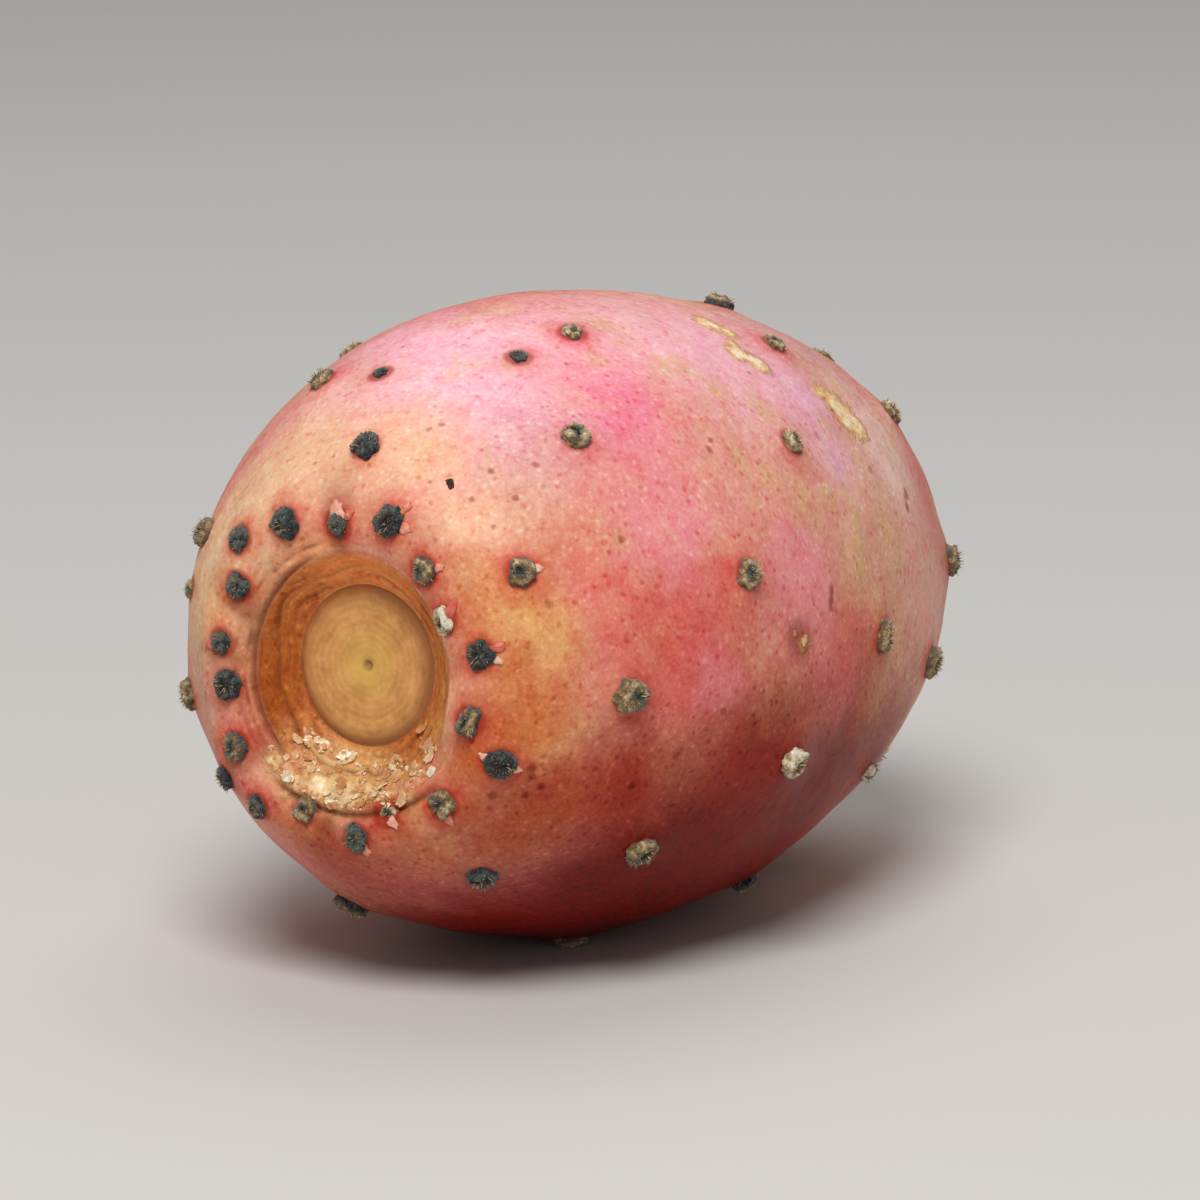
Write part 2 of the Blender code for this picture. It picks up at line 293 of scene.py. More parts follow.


# how far the skin stands out at a place, how near an areole is, and how deep a crease, which sets the painted
# shade in it
def skinRelief(distance, angle, point):
    degrees = math.degrees(angle) % 360
    lift, halo, crease = -relief["under"], 0.0, 0.0
    for place, number, away in areoleTree.find_range(point, relief["areoleReach"]):
        size = areolePlaces[number][3]
        lift += areoles["mound"] * size * math.exp(-((away / areoles["moundReach"]) ** 2))
        least, more = relief["haloReach"]
        halo = max(halo, math.exp(-((away / (least + more * size)) ** 2)))
    for height, often in relief["swells"]:
        lift += height * noise(point * often)
    # short folds run over the lip between its areoles
    near, far, height = relief["lipFolds"]
    nearLip = 1 - smoothStep(near, far, distance)
    if nearLip > 0:
        fold = noise(turnedBy(angle, 4.2, distance * 0.06))
        lift += nearLip * height * fold
        crease = max(crease, nearLip * smoothStep(0.1, 0.5, -fold) * 0.5)
    low, high, at, deep = crown["lipCrease"]
    within = window(degrees, low - 14, low + 4, high - 6, high + 12)
    if within > 0 and distance < 4:
        wander = at + 0.35 * math.sin(3 * angle + 1) + (degrees - low) * 0.006
        groove = within * math.exp(-(((distance - wander) / relief["grooveWidth"]) ** 2))
        lift -= deep * groove
        crease = max(crease, groove)
    # on one side the wall's ridges go on over the lip
    low, high, reach, deep = crown["outerRidges"]
    within = window(degrees, low - 12, low + 14, high - 14, high + 12)
    if within > 0 and distance < reach:
        wander = 0.35 * math.sin(2 * angle + 0.5) + 0.3 * noise(point * 0.35)
        steep = 1 - abs(math.sin(math.pi * (distance + wander) / relief["ridgeGap"]))
        left = within * (1 - distance / reach)
        lift -= deep * left * steep**2
        crease = max(crease, 0.8 * left * steep**4)
    # the skin puckers towards the stem
    nearStem = smoothStep(*relief["stemFolds"], distance)
    if nearStem > 0:
        around = turnedBy(angle, 2.6, 5 + distance * 0.05)
        line = max(0.0, 1 - abs(noise(around * 1.3 + Vector((3, 0, 0)))) * 11) ** 2
        pucker = stem["pucker"] * (noise(around) - 0.2) - 0.2 * line
        lift += nearStem * (pucker - lift)
        crease = max(crease, nearStem * line * 0.55)
    return lift, halo, crease


# a soft curve through the points
def smoothThrough(points, share):
    spot = min(max(share, 0), 0.999999) * (len(points) - 1)
    k = int(spot)
    t = spot - k
    a, b = points[max(k - 1, 0)], points[k]
    c, d = points[k + 1], points[min(k + 2, len(points) - 1)]
    curve = []
    for i in range(2):
        slopeIn, slopeOut = (c[i] - a[i]) / 2, (d[i] - b[i]) / 2
        whole = 2 * b[i] - 2 * c[i] + slopeIn + slopeOut
        bend = 3 * c[i] - 3 * b[i] - 2 * slopeIn - slopeOut
        curve.append(whole * t**3 + bend * t**2 + slopeIn * t + b[i])
    return curve


def surfacePoint(distance, angle):
    point = skinPoint(distance, angle)
    out = skinAxes(distance, angle)[2]
    lift, halo, crease = skinRelief(distance, angle, point)
    return point + out * lift, halo, crease


def bowlPoint(radius, depth, angle):
    rise = max(0.0, (radius - crown["floorRadius"]) / (crown["lipRadius"] - crown["floorRadius"]))
    offset = crown["floorOffset"] + (1 - crown["floorOffset"]) * rise
    # the wall has long creases, finer ones between them, and one line below the lip
    wall = window(radius, *crown["wallFade"])
    around = turnedBy(angle, 1.6, 2.0)
    wander = 0.9 * noise(around) + 0.25 * noise(around * 3.1)
    crease = 0.0
    for gap, wandering, shift, usual, change, often, along, most in crown["wallRidges"]:
        steep = abs(math.sin(math.pi * (radius + wandering * wander) / gap + shift))
        strength = min(max(usual + change * noise(turnedBy(angle, often, radius * along)), 0), most)
        crease = max(crease, wall * strength * (1 - steep) ** 2)
    low, high, at, deep = crown["wallLine"]
    line = window(math.degrees(angle) % 360, low - 12, low + 10, high - 10, high + 12)
    line *= math.exp(-(((radius - at - 0.1 * wander) / 0.22) ** 2))
    crease = max(crease, 0.9 * line)
    depth += crown["wallCrease"] * crease + deep * line
    # the floor has fine rings and a pit where the style stood
    flat = 1 - smoothStep(*crown["floorFade"], radius)
    patchy = 0.5 + noise(turnedBy(angle, radius, 3) * 0.6)
    ring = math.sin(math.tau * (radius + 0.2 * noise(around)) / crown["floorRings"])
    depth += flat * 0.03 * patchy * ring + 0.05 * noise(turnedBy(angle, radius, 7) * 0.7)
    depth += crown["pit"][0] * math.exp(-((radius / crown["pit"][1]) ** 2))
    point = ringPoint(depth, radius, angle, offset)
    overLip = smoothStep(8.9, crown["lipRadius"], radius)
    if overLip > 0:
        lift, halo, lipCrease = skinRelief(0, angle, skinPoint(0, angle))
        point += skinAxes(0, angle)[2] * lift * overLip
        crease = max(crease, lipCrease * overLip)
    return point, 0.0, crease


def stemPoint(radius, height, angle):
    lumps = math.sin(2 * angle + 0.8) + 0.8 * math.sin(3 * angle + 2.1) + 0.6 * math.sin(7 * angle)
    raised = height * (1 + stem["lump"] * lumps)
    point = ringPoint(fruit["length"] + raised, radius * (1 + 0.03 * lumps), angle, 0)
    rough = 1 - smoothStep(*stem["roughEnd"], radius)
    rays = noise(turnedBy(angle, 4, radius * 0.3)) * smoothStep(0, 2.5, radius)
    grainHeight, rayHeight = stem["rough"]
    point.x += rough * (grainHeight * noise(point * 0.9) + rayHeight * rays)
    at, half = stem["crease"]
    return point, 0.0, 0.6 * math.exp(-(((radius - at) / half) ** 2))


# from the fruit's own axes in millimetres to the way it lies, in metres
tilted = Matrix.Rotation(math.radians(fruit["restTilt"]), 4, "Y")
rested = Matrix.Scale(mm, 4) @ Matrix.Translation((0, 0, fruit["restHeight"])) @ tilted


# turns a finished piece the way the fruit rests, and ties it to the solid's body
def layDown(piece, materials):
    piece.data.transform(rested)
    for vertex in piece.data.vertices:
        vertex.co.z = max(vertex.co.z, 0.0)  # the weight presses the resting spot flat
    piece.data.materials.clear()
    for material in materials:
        piece.data.materials.append(material)
    piece.data.update()
    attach(piece, "root")


def toLinear(colour):
    channels = [int(colour[i : i + 2], 16) / 255 for i in (1, 3, 5)]
    return [c / 12.92 if c <= 0.04045 else ((c + 0.055) / 1.055) ** 2.4 for c in channels] + [1.0]


def sized(size):
    return 1 / (size * mm)


# fills a node's inputs, by name or number, and its own choices; a node given as a value is its first output
def setUp(tree, node, settings):
    for name, value in settings.items():
        if isinstance(value, bpy.types.Node):
            value = value.outputs[0]
        if isinstance(value, str) and value.startswith("#"):
            value = toLinear(value)
        if isinstance(value, bpy.types.NodeSocket):
            tree.links.new(value, node.inputs[name])
        elif name == "stops":
            ramp = node.color_ramp
            for place, colour in value[2:]:
                ramp.elements.new(place)
            for element, (place, colour) in zip(ramp.elements, value):
                element.position = place
                element.color = toLinear(colour)
        elif isinstance(name, int) or name in node.inputs:
            node.inputs[name].default_value = value
        else:
            setattr(node, name, value)


# the kind may end with the operation
def addNode(tree, kind, settings):
    kind, space, operation = kind.partition(" ")
    node = tree.nodes.new("ShaderNode" + kind)
    if operation:
        node.operation = operation
    setUp(tree, node, settings)
    return node


def startMaterial(name, gloss):
    material = bpy.data.materials.new(name)
    material.use_nodes = True
    tree = material.node_tree
    shader = tree.nodes["Principled BSDF"]
    setUp(tree, shader, gloss)
    return material, tree, shader, addNode(tree, "TexCoord", {}).outputs["Object"]


# Cactus-fruit skin: a waxy cuticle over fleshy rind. The eye sees soft patches that run into each other,
# a fine stipple of pale and dark dots, a red flush round each areole and a broad, dull gloss. Painted shade
# rings each areole's foot and darkens the creases.
pearSkin = {
    "gloss": {"IOR": 1.42, "Specular IOR Level": 0.17, "Subsurface Weight": 0.06,
              "Subsurface Scale": 0.0008, "Subsurface Radius": (2.2, 0.8, 0.5)},
    "base": ((0.38, "#E07A74"), (0.62, "#DF9A74")),
    "wall": ((0.35, "#A4561F"), (0.7, "#CC7A3C")),
    "scar": ((0.34, "#C48C58"), (0.58, "#D3A36A"), (0.8, "#EBC78E"), (1.0, "#FCE8C2")),
    "scarEdge": (0.22, 0.66, 0.0, 0.92),  # how the cork comes in over the skin
    "scarRagged": 1.3,
    "flush": "#E86A60",
    # the foot colour is a dark red ring at each areole's foot: painted shade
    "foot": "#A02A1A",
    # the crease colour darkens the skin in its grooves: painted shade
    "creaseShade": "#74300F",
    "russet": "#DCAC7A",
    "russetRise": (16, 40),  # heights in mm over which it comes
    "speck": "#A8583C",
    "warps": ((11, 8), (2.6, 1.8)),  # size and strength in mm
    "noises": {  # size in mm, detail, roughness and whether the warps move it
        "slow": (22, 3.0, 0.5, True), "cloud": (6, 5.0, 0.65, True), "streak": (1.4, 3.0, 0.65, True),
        "mottle": (2.2, 5.0, 0.7, True), "blot": (1.1, 4.0, 0.7, False), "grain": (0.42, 3.0, 0.75, False),
        "patchy": (1.5, 5.0, 0.7, False), "wide": (9, 1.0, 0.5, False),
    },
    "ranges": {  # what is read, from and to, and the two values that this gives
        "clouded": ("cloud", 0.5, 0.66, 0.0, 0.4), "blotted": ("blot", 0.4, 0.6, 0.3, 1.0),
        "uneven": ("wide", 0.4, 0.58, 0.12, 1.0), "atFoot": ("halo", 0.72, 0.84, 0.0, 0.7),
        "dullness": ("mottle", 0.3, 0.7, 0.36, 0.5),
    },
    "mottling": (  # noise, strength and tones round a neutral grey
        ("blot", 0.4, ((0.32, "#94787C"), (0.5, "#BCBCBC"), (0.68, "#DCDCD4"))),
        ("mottle", 0.6, ((0.3, "#A07C84"), (0.5, "#BCBCBC"), (0.7, "#D8DCCC"))),
        ("grain", 0.5, ((0.3, "#7C7074"), (0.5, "#BCBCBC"), (0.7, "#E8E8E4"))),
    ),
    "scatter": 0.7,  # mm that dots and specks are pushed about
    "stipple": (  # spacing and reach of the dots in mm, share of them that show, colour, strength and blend
        (0.78, 0.33, 0.62, "#FFFFFF", 0.5, "SOFT_LIGHT"),
        (0.95, 0.37, 0.55, "#58343C", 0.66, "SOFT_LIGHT"),
        (2.7, 0.34, 0.42, "#8A3420", 0.55, "MIX"),
    ),
    "bumps": (("grain", 0.35, 0.06), ("mottle", 0.5, 0.2), ("raised", 0.8, 0.3)),  # strength, height in mm
}

# the patches' colours
hues = {
    "pink": "#F8B8C4", "vivid": "#EE7E96", "rose": "#EE9298", "mauve": "#DCA2A8", "tan": "#E0A88E",
    "peach": "#F2BD98", "cream": "#F3CEA2", "ochre": "#E4A466", "orange": "#D67C48", "salmon": "#E87E72",
    "coral": "#DA6058", "brick": "#B44A2A", "red": "#A5301F", "deepRed": "#85150A", "maroon": "#760A03",
    "olive": "#CFAA62", "blush": "#F0AE9C", "rust": "#C4622E",
    "lilac": "#F4B4C8", "paintedRimLight": "#F4CEC4", "wine": "#8E3026",
}

# distance, angle, reach in mm, hue and strength, each laid over those before it
skinPatches = (
    # the stem end and the far side
    (86, 0, 18, "rust", 0.4), (99, 0, 22, "olive", 0.9), (62, 334, 14, "mauve", 0.75),
    (60, 90, 20, "tan", 0.8), (34, 60, 18, "peach", 0.7), (36, 130, 20, "coral", 0.8),
    (62, 165, 20, "brick", 0.7),
    # below: the skin's deep red, made darker still as painted shade
    (24, 195, 25, "deepRed", 1.0), (44, 222, 26, "deepRed", 1.0), (30, 238, 17, "deepRed", 1.0),
    (30, 214, 18, "maroon", 1.0),
    # above
    (20, 355, 22, "pink", 1.0), (42, 332, 20, "pink", 0.9),
    # the near side towards the stem, with a pale patch of painted light on its upper edge
    (52, 296, 16, "tan", 0.85), (49, 297, 8, "blush", 0.9), (63, 303, 12, "paintedRimLight", 0.8),
    (51, 319, 7, "lilac", 0.9), (57, 288, 8, "tan", 0.8), (50, 304.5, 6, "lilac", 0.9),
    (66, 270, 14, "blush", 1.0), (37.5, 285, 10, "rose", 0.85), (44, 267, 8, "coral", 0.8),
    # over the crown
    (8, 22, 14, "peach", 0.9), (9, 350, 9, "peach", 0.8), (5, 60, 13, "cream", 0.95),
    (4.5, 70, 5, "ochre", 0.45), (4.5, 100, 6, "tan", 0.85),
    # the middle of the near side
    (25.5, 325, 9, "vivid", 0.95), (16, 330, 8, "mauve", 0.6), (12, 322, 7, "tan", 0.6),
    (24, 300, 11, "rose", 1.0), (33, 305, 7, "rose", 0.7), (21, 277, 11, "coral", 0.9),
    (24, 270, 5, "rose", 0.5), (29, 284, 6, "coral", 0.6), (30, 256, 9, "red", 0.85),
    # the deep red, wine and maroon patches low on this side are partly painted shade
    (32, 254, 7, "deepRed", 0.5), (47, 250, 9, "wine", 0.85), (58, 244, 12, "wine", 0.85),
    (17, 244, 10, "red", 0.95), (21, 222, 9, "maroon", 0.9), (15, 289, 6, "salmon", 0.9),
    # yellow and rust beside the crown
    (6, 322, 6, "peach", 0.9), (11, 240, 7, "brick", 0.85), (7.5, 262, 6.5, "orange", 0.95),
    (5.5, 306, 5, "orange", 0.6), (6, 290, 6.5, "ochre", 0.9), (8.8, 279, 5.5, "ochre", 0.8),
    (9.5, 258, 4.5, "ochre", 0.4), (5.5, 205, 6, "orange", 0.6), (6.5, 175, 8, "brick", 0.8),
    (3.6, 157, 5, "orange", 0.75), (4.7, 277, 3.2, "rust", 0.85), (5, 261, 3.4, "rust", 0.6),
    # the maroon pair low on the near side is partly painted shade
    (42, 243, 9, "maroon", 0.9), (49, 246, 9, "maroon", 0.65), (8.2, 262, 5, "rust", 0.4),
    (3.4, 246, 3.4, "rust", 0.75), (9, 227, 6, "brick", 0.8),
    # the pale lower lip
    (1.2, 138, 4.6, "peach", 0.9), (0.8, 148, 3.6, "ochre", 0.7), (0.6, 158, 4.0, "cream", 0.9),
    (0.4, 172, 3.2, "ochre", 0.85), (0.4, 194, 3.2, "ochre", 0.85), (0.6, 183, 4.0, "cream", 0.6),
    (0.8, 216, 3.0, "ochre", 0.8), (0.6, 262, 2.6, "peach", 0.7), (0.6, 292, 2.4, "peach", 0.6),
    # small ones under the lip and low on the near side
    (4.2, 247, 3.4, "rust", 0.6), (4.4, 232, 3.6, "rust", 0.6), (4.6, 272, 3.0, "orange", 0.6),
    (49.5, 261, 5.5, "brick", 0.55), (39, 259, 5, "red", 0.4),
)
# the wall of the bowl: radius, depth, angle, reach, colour and strength
bowlPatches = (
    # the first, bright orange on the upper wall, is painted light where the wall lies in shade
    (8.8, 1.2, 0, 11, "#FF9E5A", 1.0), (9.0, 1.2, 60, 6, "#B4622A", 0.6), (9.0, 1.2, 100, 7, "#A04E18", 0.7),
    (9.2, 1.0, 290, 6, "#E29050", 0.85), (9.2, 0.8, 250, 5, "#DE9A54", 0.8),
    (9.2, 0.8, 188, 7, "#E6B272", 0.95), (9.6, 0.5, 163, 5, "#EEC48C", 0.85),
    (9.4, 0.6, 140, 5, "#D08E52", 0.6),
)
# dark specks in the skin: distance, angle, reach and strength
specks = (
    (8.5, 325.5, 0.42, 0.7), (64, 294, 0.8, 0.75), (63.2, 293.2, 0.6, 0.6), (62.9, 291.2, 0.8, 0.8),
    (31.8, 310, 0.6, 0.7), (32.6, 311.8, 0.45, 0.6), (41.9, 279.8, 0.62, 0.7), (41.6, 278.2, 0.7, 0.75),
    (41.4, 276.8, 0.6, 0.65), (12, 348.5, 0.45, 0.6), (13, 346.6, 0.45, 0.6), (14.8, 322.5, 0.45, 0.6),
    (11.5, 328, 0.42, 0.65), (11.3, 318.5, 0.5, 0.65), (17.8, 299.5, 0.5, 0.7), (48.9, 308, 0.6, 0.4),
    (8.3, 248, 0.8, 0.8), (8.6, 245.5, 0.6, 0.8), (8.8, 240, 0.6, 0.85), (9.8, 243.5, 0.6, 0.9),
    (18.3, 246.5, 0.62, 0.9), (6.3, 237, 0.65, 0.7), (9.5, 291, 0.6, 0.5), (57, 300, 0.7, 0.5),
    (26, 262, 0.5, 0.6), (40, 140, 0.8, 0.8), (22, 60, 0.7, 0.8), (52, 180, 0.8, 0.7), (64, 40, 0.6, 0.7),
    (35, 15, 0.5, 0.7), (28, 120, 0.6, 0.7), (36, 272.5, 2.9, 0.5), (35.2, 274, 1.8, 0.35),
)


# lays colours over one another, each as strongly as its factor says
def layColours(tree, colour, layers):
    for factor, over, *blend in layers:
        laid = addNode(tree, "Mix", {"data_type": "RGBA", "blend_type": blend[0] if blend else "MIX",
                                     0: factor, 6: colour, 7: over})
        colour = laid.outputs[2]
    return colour


# how strongly a place is felt, in a soft circle round it
def nearPlace(tree, vector, point, reach, strength, core=0.1):
    away = addNode(tree, "VectorMath DISTANCE", {0: vector, 1: rested @ point}).outputs["Value"]
    return addNode(tree, "MapRange", {"interpolation_type": "SMOOTHSTEP", 0: away, 1: reach * mm,
                                      2: reach * mm * core, 3: 0.0, 4: strength})


def makePearSkin():
    material, tree, shader, place = startMaterial("waxyPearSkin", pearSkin["gloss"])
    # warps give the patches ragged edges
    warped = place
    for size, amount in pearSkin["warps"]:
        wave = addNode(tree, "TexNoise", {"Scale": sized(size), "Detail": 2.0, "Vector": place})
        shift = addNode(tree, "VectorMath MULTIPLY_ADD", {0: wave.outputs["Color"], 1: (amount * mm,) * 3,
                                                          2: (-amount * mm / 2,) * 3})
        warped = addNode(tree, "VectorMath ADD", {0: warped, 1: shift})
    fields = {}  # what the layers read
    for name in skinMesh["carries"]:
        fields[name] = addNode(tree, "Attribute", {"attribute_name": name}).outputs["Fac"]
    for name, (size, detail, roughness, moved) in pearSkin["noises"].items():
        fields[name] = addNode(tree, "TexNoise", {"Scale": sized(size), "Detail": detail,
                                                  "Roughness": roughness,
                                                  "Vector": warped if moved else place})
    for name, (source, *steps) in pearSkin["ranges"].items():
        fields[name] = addNode(tree, "MapRange", {0: fields[source], **dict(enumerate(steps, 1))})
    layers = [(nearPlace(tree, warped, skinPoint(distance, math.radians(angle)), reach, strength), hues[hue])
              for distance, angle, reach, hue, strength in skinPatches]
    # russet: a faint cloud on the upper side
    low, high = pearSkin["russetRise"]
    height = addNode(tree, "SeparateXYZ", {0: place}).outputs["Z"]
    upper = addNode(tree, "MapRange", {0: height, 1: low * mm, 2: high * mm})
    layers.append((addNode(tree, "Math MULTIPLY", {0: fields["clouded"], 1: upper}), pearSkin["russet"]))
    # the bowl inside the lip is browner, in fine streaks, with painted light on its upper wall
    wall = addNode(tree, "ValToRGB", {"stops": pearSkin["wall"], "Fac": fields["streak"]})
    streaks = []
    for radius, depth, angle, reach, hue, strength in bowlPatches:
        middle = ringPoint(depth, radius, math.radians(angle), 1)
        streaks.append((nearPlace(tree, warped, middle, reach, strength), hue))
    layers.append((fields["bowl"], layColours(tree, wall, streaks)))
    # dull stains
    stained = addNode(tree, "Math MULTIPLY", {0: fields["stain"], 1: fields["blotted"]})
    layers.append((stained, pearSkin["russet"]))
    # healed scars: brown at their ragged edge, cream inside
    amount = pearSkin["scarRagged"]
    ragged = addNode(tree, "Math MULTIPLY_ADD", {0: fields["blot"], 1: amount, 2: -amount / 2})
    ragged = addNode(tree, "Math ADD", {0: ragged, 1: fields["scar"]})
    corky = addNode(tree, "MapRange", {"interpolation_type": "SMOOTHSTEP", 0: ragged,
                                       **dict(enumerate(pearSkin["scarEdge"], 1))})
    layers.append((corky, addNode(tree, "ValToRGB", {"stops": pearSkin["scar"], "Fac": ragged})))
    # mottling from a few millimetres wide down to a grain, then dots and specks
    for name, strength, stops in pearSkin["mottling"]:
        tones = addNode(tree, "ValToRGB", {"stops": stops, "Fac": fields[name]})
        layers.append((strength, tones, "SOFT_LIGHT"))
    push = pearSkin["scatter"] * mm
    scattered = addNode(tree, "VectorMath MULTIPLY_ADD", {0: fields["blot"].outputs["Color"], 1: (push,) * 3,
                                                          2: place})
    for size, reach, share, dot, strength, blend in pearSkin["stipple"]:
        cells = addNode(tree, "TexVoronoi", {"Scale": sized(size), "Vector": scattered})
        inside = addNode(tree, "MapRange", {"interpolation_type": "SMOOTHSTEP", 0: cells.outputs["Distance"],
                                            1: reach / size, 2: reach / size * 0.2, 3: 0.0, 4: strength})
        pick = addNode(tree, "SeparateColor", {0: cells.outputs["Color"]})
        chosen = addNode(tree, "Math LESS_THAN", {0: pick, 1: share})
        layers.append((addNode(tree, "Math MULTIPLY", {0: inside, 1: chosen}), dot, blend))
    for distance, angle, reach, strength in specks:
        spot = skinPoint(distance, math.radians(angle)) + Vector((1, 1, 1)) * (pearSkin["scatter"] / 2)
        near = nearPlace(tree, scattered, spot, reach, strength, 0.3)
        layers.append((near, pearSkin["speck"], "MULTIPLY"))
    # the flush is stronger round some areoles than round others
    flushed = addNode(tree, "Math MULTIPLY", {0: fields["halo"], 1: fields["patchy"]})
    flushed = addNode(tree, "MapRange", {0: flushed, 1: 0.1, 2: 0.5, 3: 0.0, 4: 0.85})
    flushed = addNode(tree, "Math MULTIPLY", {0: flushed, 1: fields["uneven"]})
    # the crease value darkens the grooves: painted shade
    creaseShading = addNode(tree, "Math MULTIPLY", {0: fields["crease"], 1: 0.9})
    # then painted shade: the dark red ring at each areole's foot, and the darkened creases
    layers += [(flushed, pearSkin["flush"], "MULTIPLY"), (fields["atFoot"], pearSkin["foot"]),
               (creaseShading, pearSkin["creaseShade"])]
    base = addNode(tree, "ValToRGB", {"stops": pearSkin["base"], "Fac": fields["slow"]})
    # cork is duller and rougher than the cuticle
    dull = addNode(tree, "Math MULTIPLY_ADD", {0: corky, 1: 0.3, 2: fields["dullness"]})
    fields["raised"] = addNode(tree, "Math MULTIPLY", {0: corky, 1: fields["blot"]})
    below = {}
    for name, strength, height in pearSkin["bumps"]:
        below["Normal"] = addNode(tree, "Bump", {"Strength": strength, "Distance": height * mm,
                                                 "Height": fields[name], **below})
    setUp(tree, shader, {"Base Color": layColours(tree, base, layers), "Roughness": dull, **below})
    return material


# Dried flower scar: papery tissue in fine rings round the mark of the style, with painted shade in a dark
# ring at the floor's edge.
flowerScar = {
    "gloss": {"Roughness": 0.5, "IOR": 1.45, "Subsurface Weight": 0.05, "Subsurface Scale": 0.001},
    "paper": ((0.32, "#BC8040"), (0.66, "#E0A25E")),
    "depth": 2.8,
    "middle": ("#DDB656", 4.5, 0.55),  # colour, reach and strength
    # the rim colour is a dark ring at the floor's edge: painted shade where the floor meets the wall
    "rimShade": ("#8A4A1C", 4.8, 7, 0.9),  # colour, from and to, and strength
    "pit": ("#4E2A10", 0.6, 0.3, 0.8),
    "ringGap": 0.62,
    "ringWander": 0.9,
}


def makeFlowerScar():
    material, tree, shader, place = startMaterial("driedFlowerScar", flowerScar["gloss"])
    middle = ringPoint(flowerScar["depth"], 0, 0, crown["floorOffset"])
    wave = addNode(tree, "TexNoise", {"Scale": sized(3), "Detail": 2.0, "Vector": place})
    away = addNode(tree, "VectorMath DISTANCE", {0: place, 1: rested @ middle}).outputs["Value"]
    wander = flowerScar["ringWander"] * mm
    wandered = addNode(tree, "Math MULTIPLY_ADD", {0: wave, 1: wander, 2: away})
    turns = addNode(tree, "Math MULTIPLY", {0: wandered, 1: math.tau / (flowerScar["ringGap"] * mm)})
    rings = addNode(tree, "Math SINE", {0: turns})
    blotch = addNode(tree, "TexNoise", {"Scale": sized(1.7), "Detail": 4.0, "Roughness": 0.65,
                                        "Vector": place})
    tone = addNode(tree, "Math MULTIPLY_ADD", {0: rings, 1: 0.035, 2: blotch})
    paper = addNode(tree, "ValToRGB", {"stops": flowerScar["paper"], "Fac": tone})
    colour, reach, strength = flowerScar["middle"]
    layers = [(nearPlace(tree, place, middle, reach, strength), colour)]
    for part, edge in (("rimShade", "SMOOTHSTEP"), ("pit", "LINEAR")):
        colour, start, end, strength = flowerScar[part]
        layers.append((addNode(tree, "MapRange", {"interpolation_type": edge, 0: away, 1: start * mm,
                                                  2: end * mm, 3: 0.0, 4: strength}), colour))
    bump = addNode(tree, "Bump", {"Strength": 0.5, "Distance": 0.2 * mm, "Height": tone})
    setUp(tree, shader, {"Base Color": layColours(tree, paper, layers), "Normal": bump})
    return material


# Cork: dry and matt, beige with a greyish middle, in fine rays, brown and cracked on one side.
stemCork = {
    "gloss": {"Roughness": 0.85, "IOR": 1.4, "Specular IOR Level": 0.3},
    "rays": ((0.3, "#8A7150"), (0.5, "#B9A27A"), (0.7, "#DCCBA4")),
    "middle": ("#A39A88", 3.6, 0.8),  # colour, reach and strength
    "brown": ("#6E4424", 4.6, 1.6),
    "brownAt": (4.4, 215),  # radius and angle
}


def makeStemCork():
    material, tree, shader, place = startMaterial("dryStemCork", stemCork["gloss"])
    middle = ringPoint(fruit["length"], 0, 0, 0)
    outward = addNode(tree, "VectorMath SUBTRACT", {0: place, 1: rested @ middle})
    ray = addNode(tree, "VectorMath NORMALIZE", {0: outward})
    rays = addNode(tree, "TexNoise", {"Scale": 7.0, "Detail": 3.0, "Roughness": 0.6, "Vector": ray})
    grain = addNode(tree, "TexNoise", {"Scale": sized(0.5), "Detail": 4.0, "Roughness": 0.7, "Vector": place})
    half = addNode(tree, "Math MULTIPLY", {0: grain, 1: 0.5})
    both = addNode(tree, "Math MULTIPLY_ADD", {0: rays, 1: 0.5, 2: half})
    cork = addNode(tree, "ValToRGB", {"stops": stemCork["rays"], "Fac": both})
    colour, reach, strength = stemCork["middle"]
    layers = [(nearPlace(tree, place, middle, reach, strength), colour)]
    radius, angle = stemCork["brownAt"]
    side = ringPoint(fruit["length"] + 0.8, radius, math.radians(angle), 0)
    colour, reach, strength = stemCork["brown"]
    ragged = addNode(tree, "Math MULTIPLY", {0: nearPlace(tree, place, side, reach, strength), 1: grain})
    layers.append((ragged, colour))
    bump = addNode(tree, "Bump", {"Strength": 0.7, "Distance": 0.25 * mm, "Height": both})
    setUp(tree, shader, {"Base Color": layColours(tree, cork, layers), "Normal": bump})
    return material


# the skin's mesh, and what its points carry for the colours
skinMesh = {
    "sides": 320,
    "rings": {"floor": 26, "wall": 28, "lip": 18, "body": 164, "stem": 28},
    "carries": ("halo", "crease", "bowl", "stain", "scar"),
}


# the bowl's colour carries on over the lip where its ridges do
def lipTint(distance, angle):
    low, high, reach, deep = crown["outerRidges"]
    within = window(math.degrees(angle) % 360, low - 16, low + 14, high - 14, high + 16)
    return 0.5 * within * (1 - smoothStep(0.3, reach * 0.9, distance))


def bowlDepth(radius):
    points = crown["bowl"]
    k = min(max(bisect.bisect([p[0] for p in points], radius), 1), len(points) - 1)
    share = (radius - points[k - 1][0]) / (points[k][0] - points[k - 1][0])
    return smoothThrough(points, (k - 1 + share) / (len(points) - 1))[1]


# rings of points from the middle of the crown's floor to the middle of the stem scar
def skinRings():
    edge, lip, body = crown["floorEdge"], crown["lipRadius"], stem["bodyEnd"] - bodyStart
    count = skinMesh["rings"]
    rings = [("bowl", edge * i / count["floor"]) for i in range(1, count["floor"] + 1)]
    rings += [("bowl", edge + (lip - edge) * (i / count["wall"])) for i in range(1, count["wall"])]
    rings += [("skin", bodyStart * i / count["lip"]) for i in range(count["lip"])]
    rings += [("skin", bodyStart + body * i / count["body"]) for i in range(count["body"])]
    return rings + [("stem", i / count["stem"]) for i in range(count["stem"])]


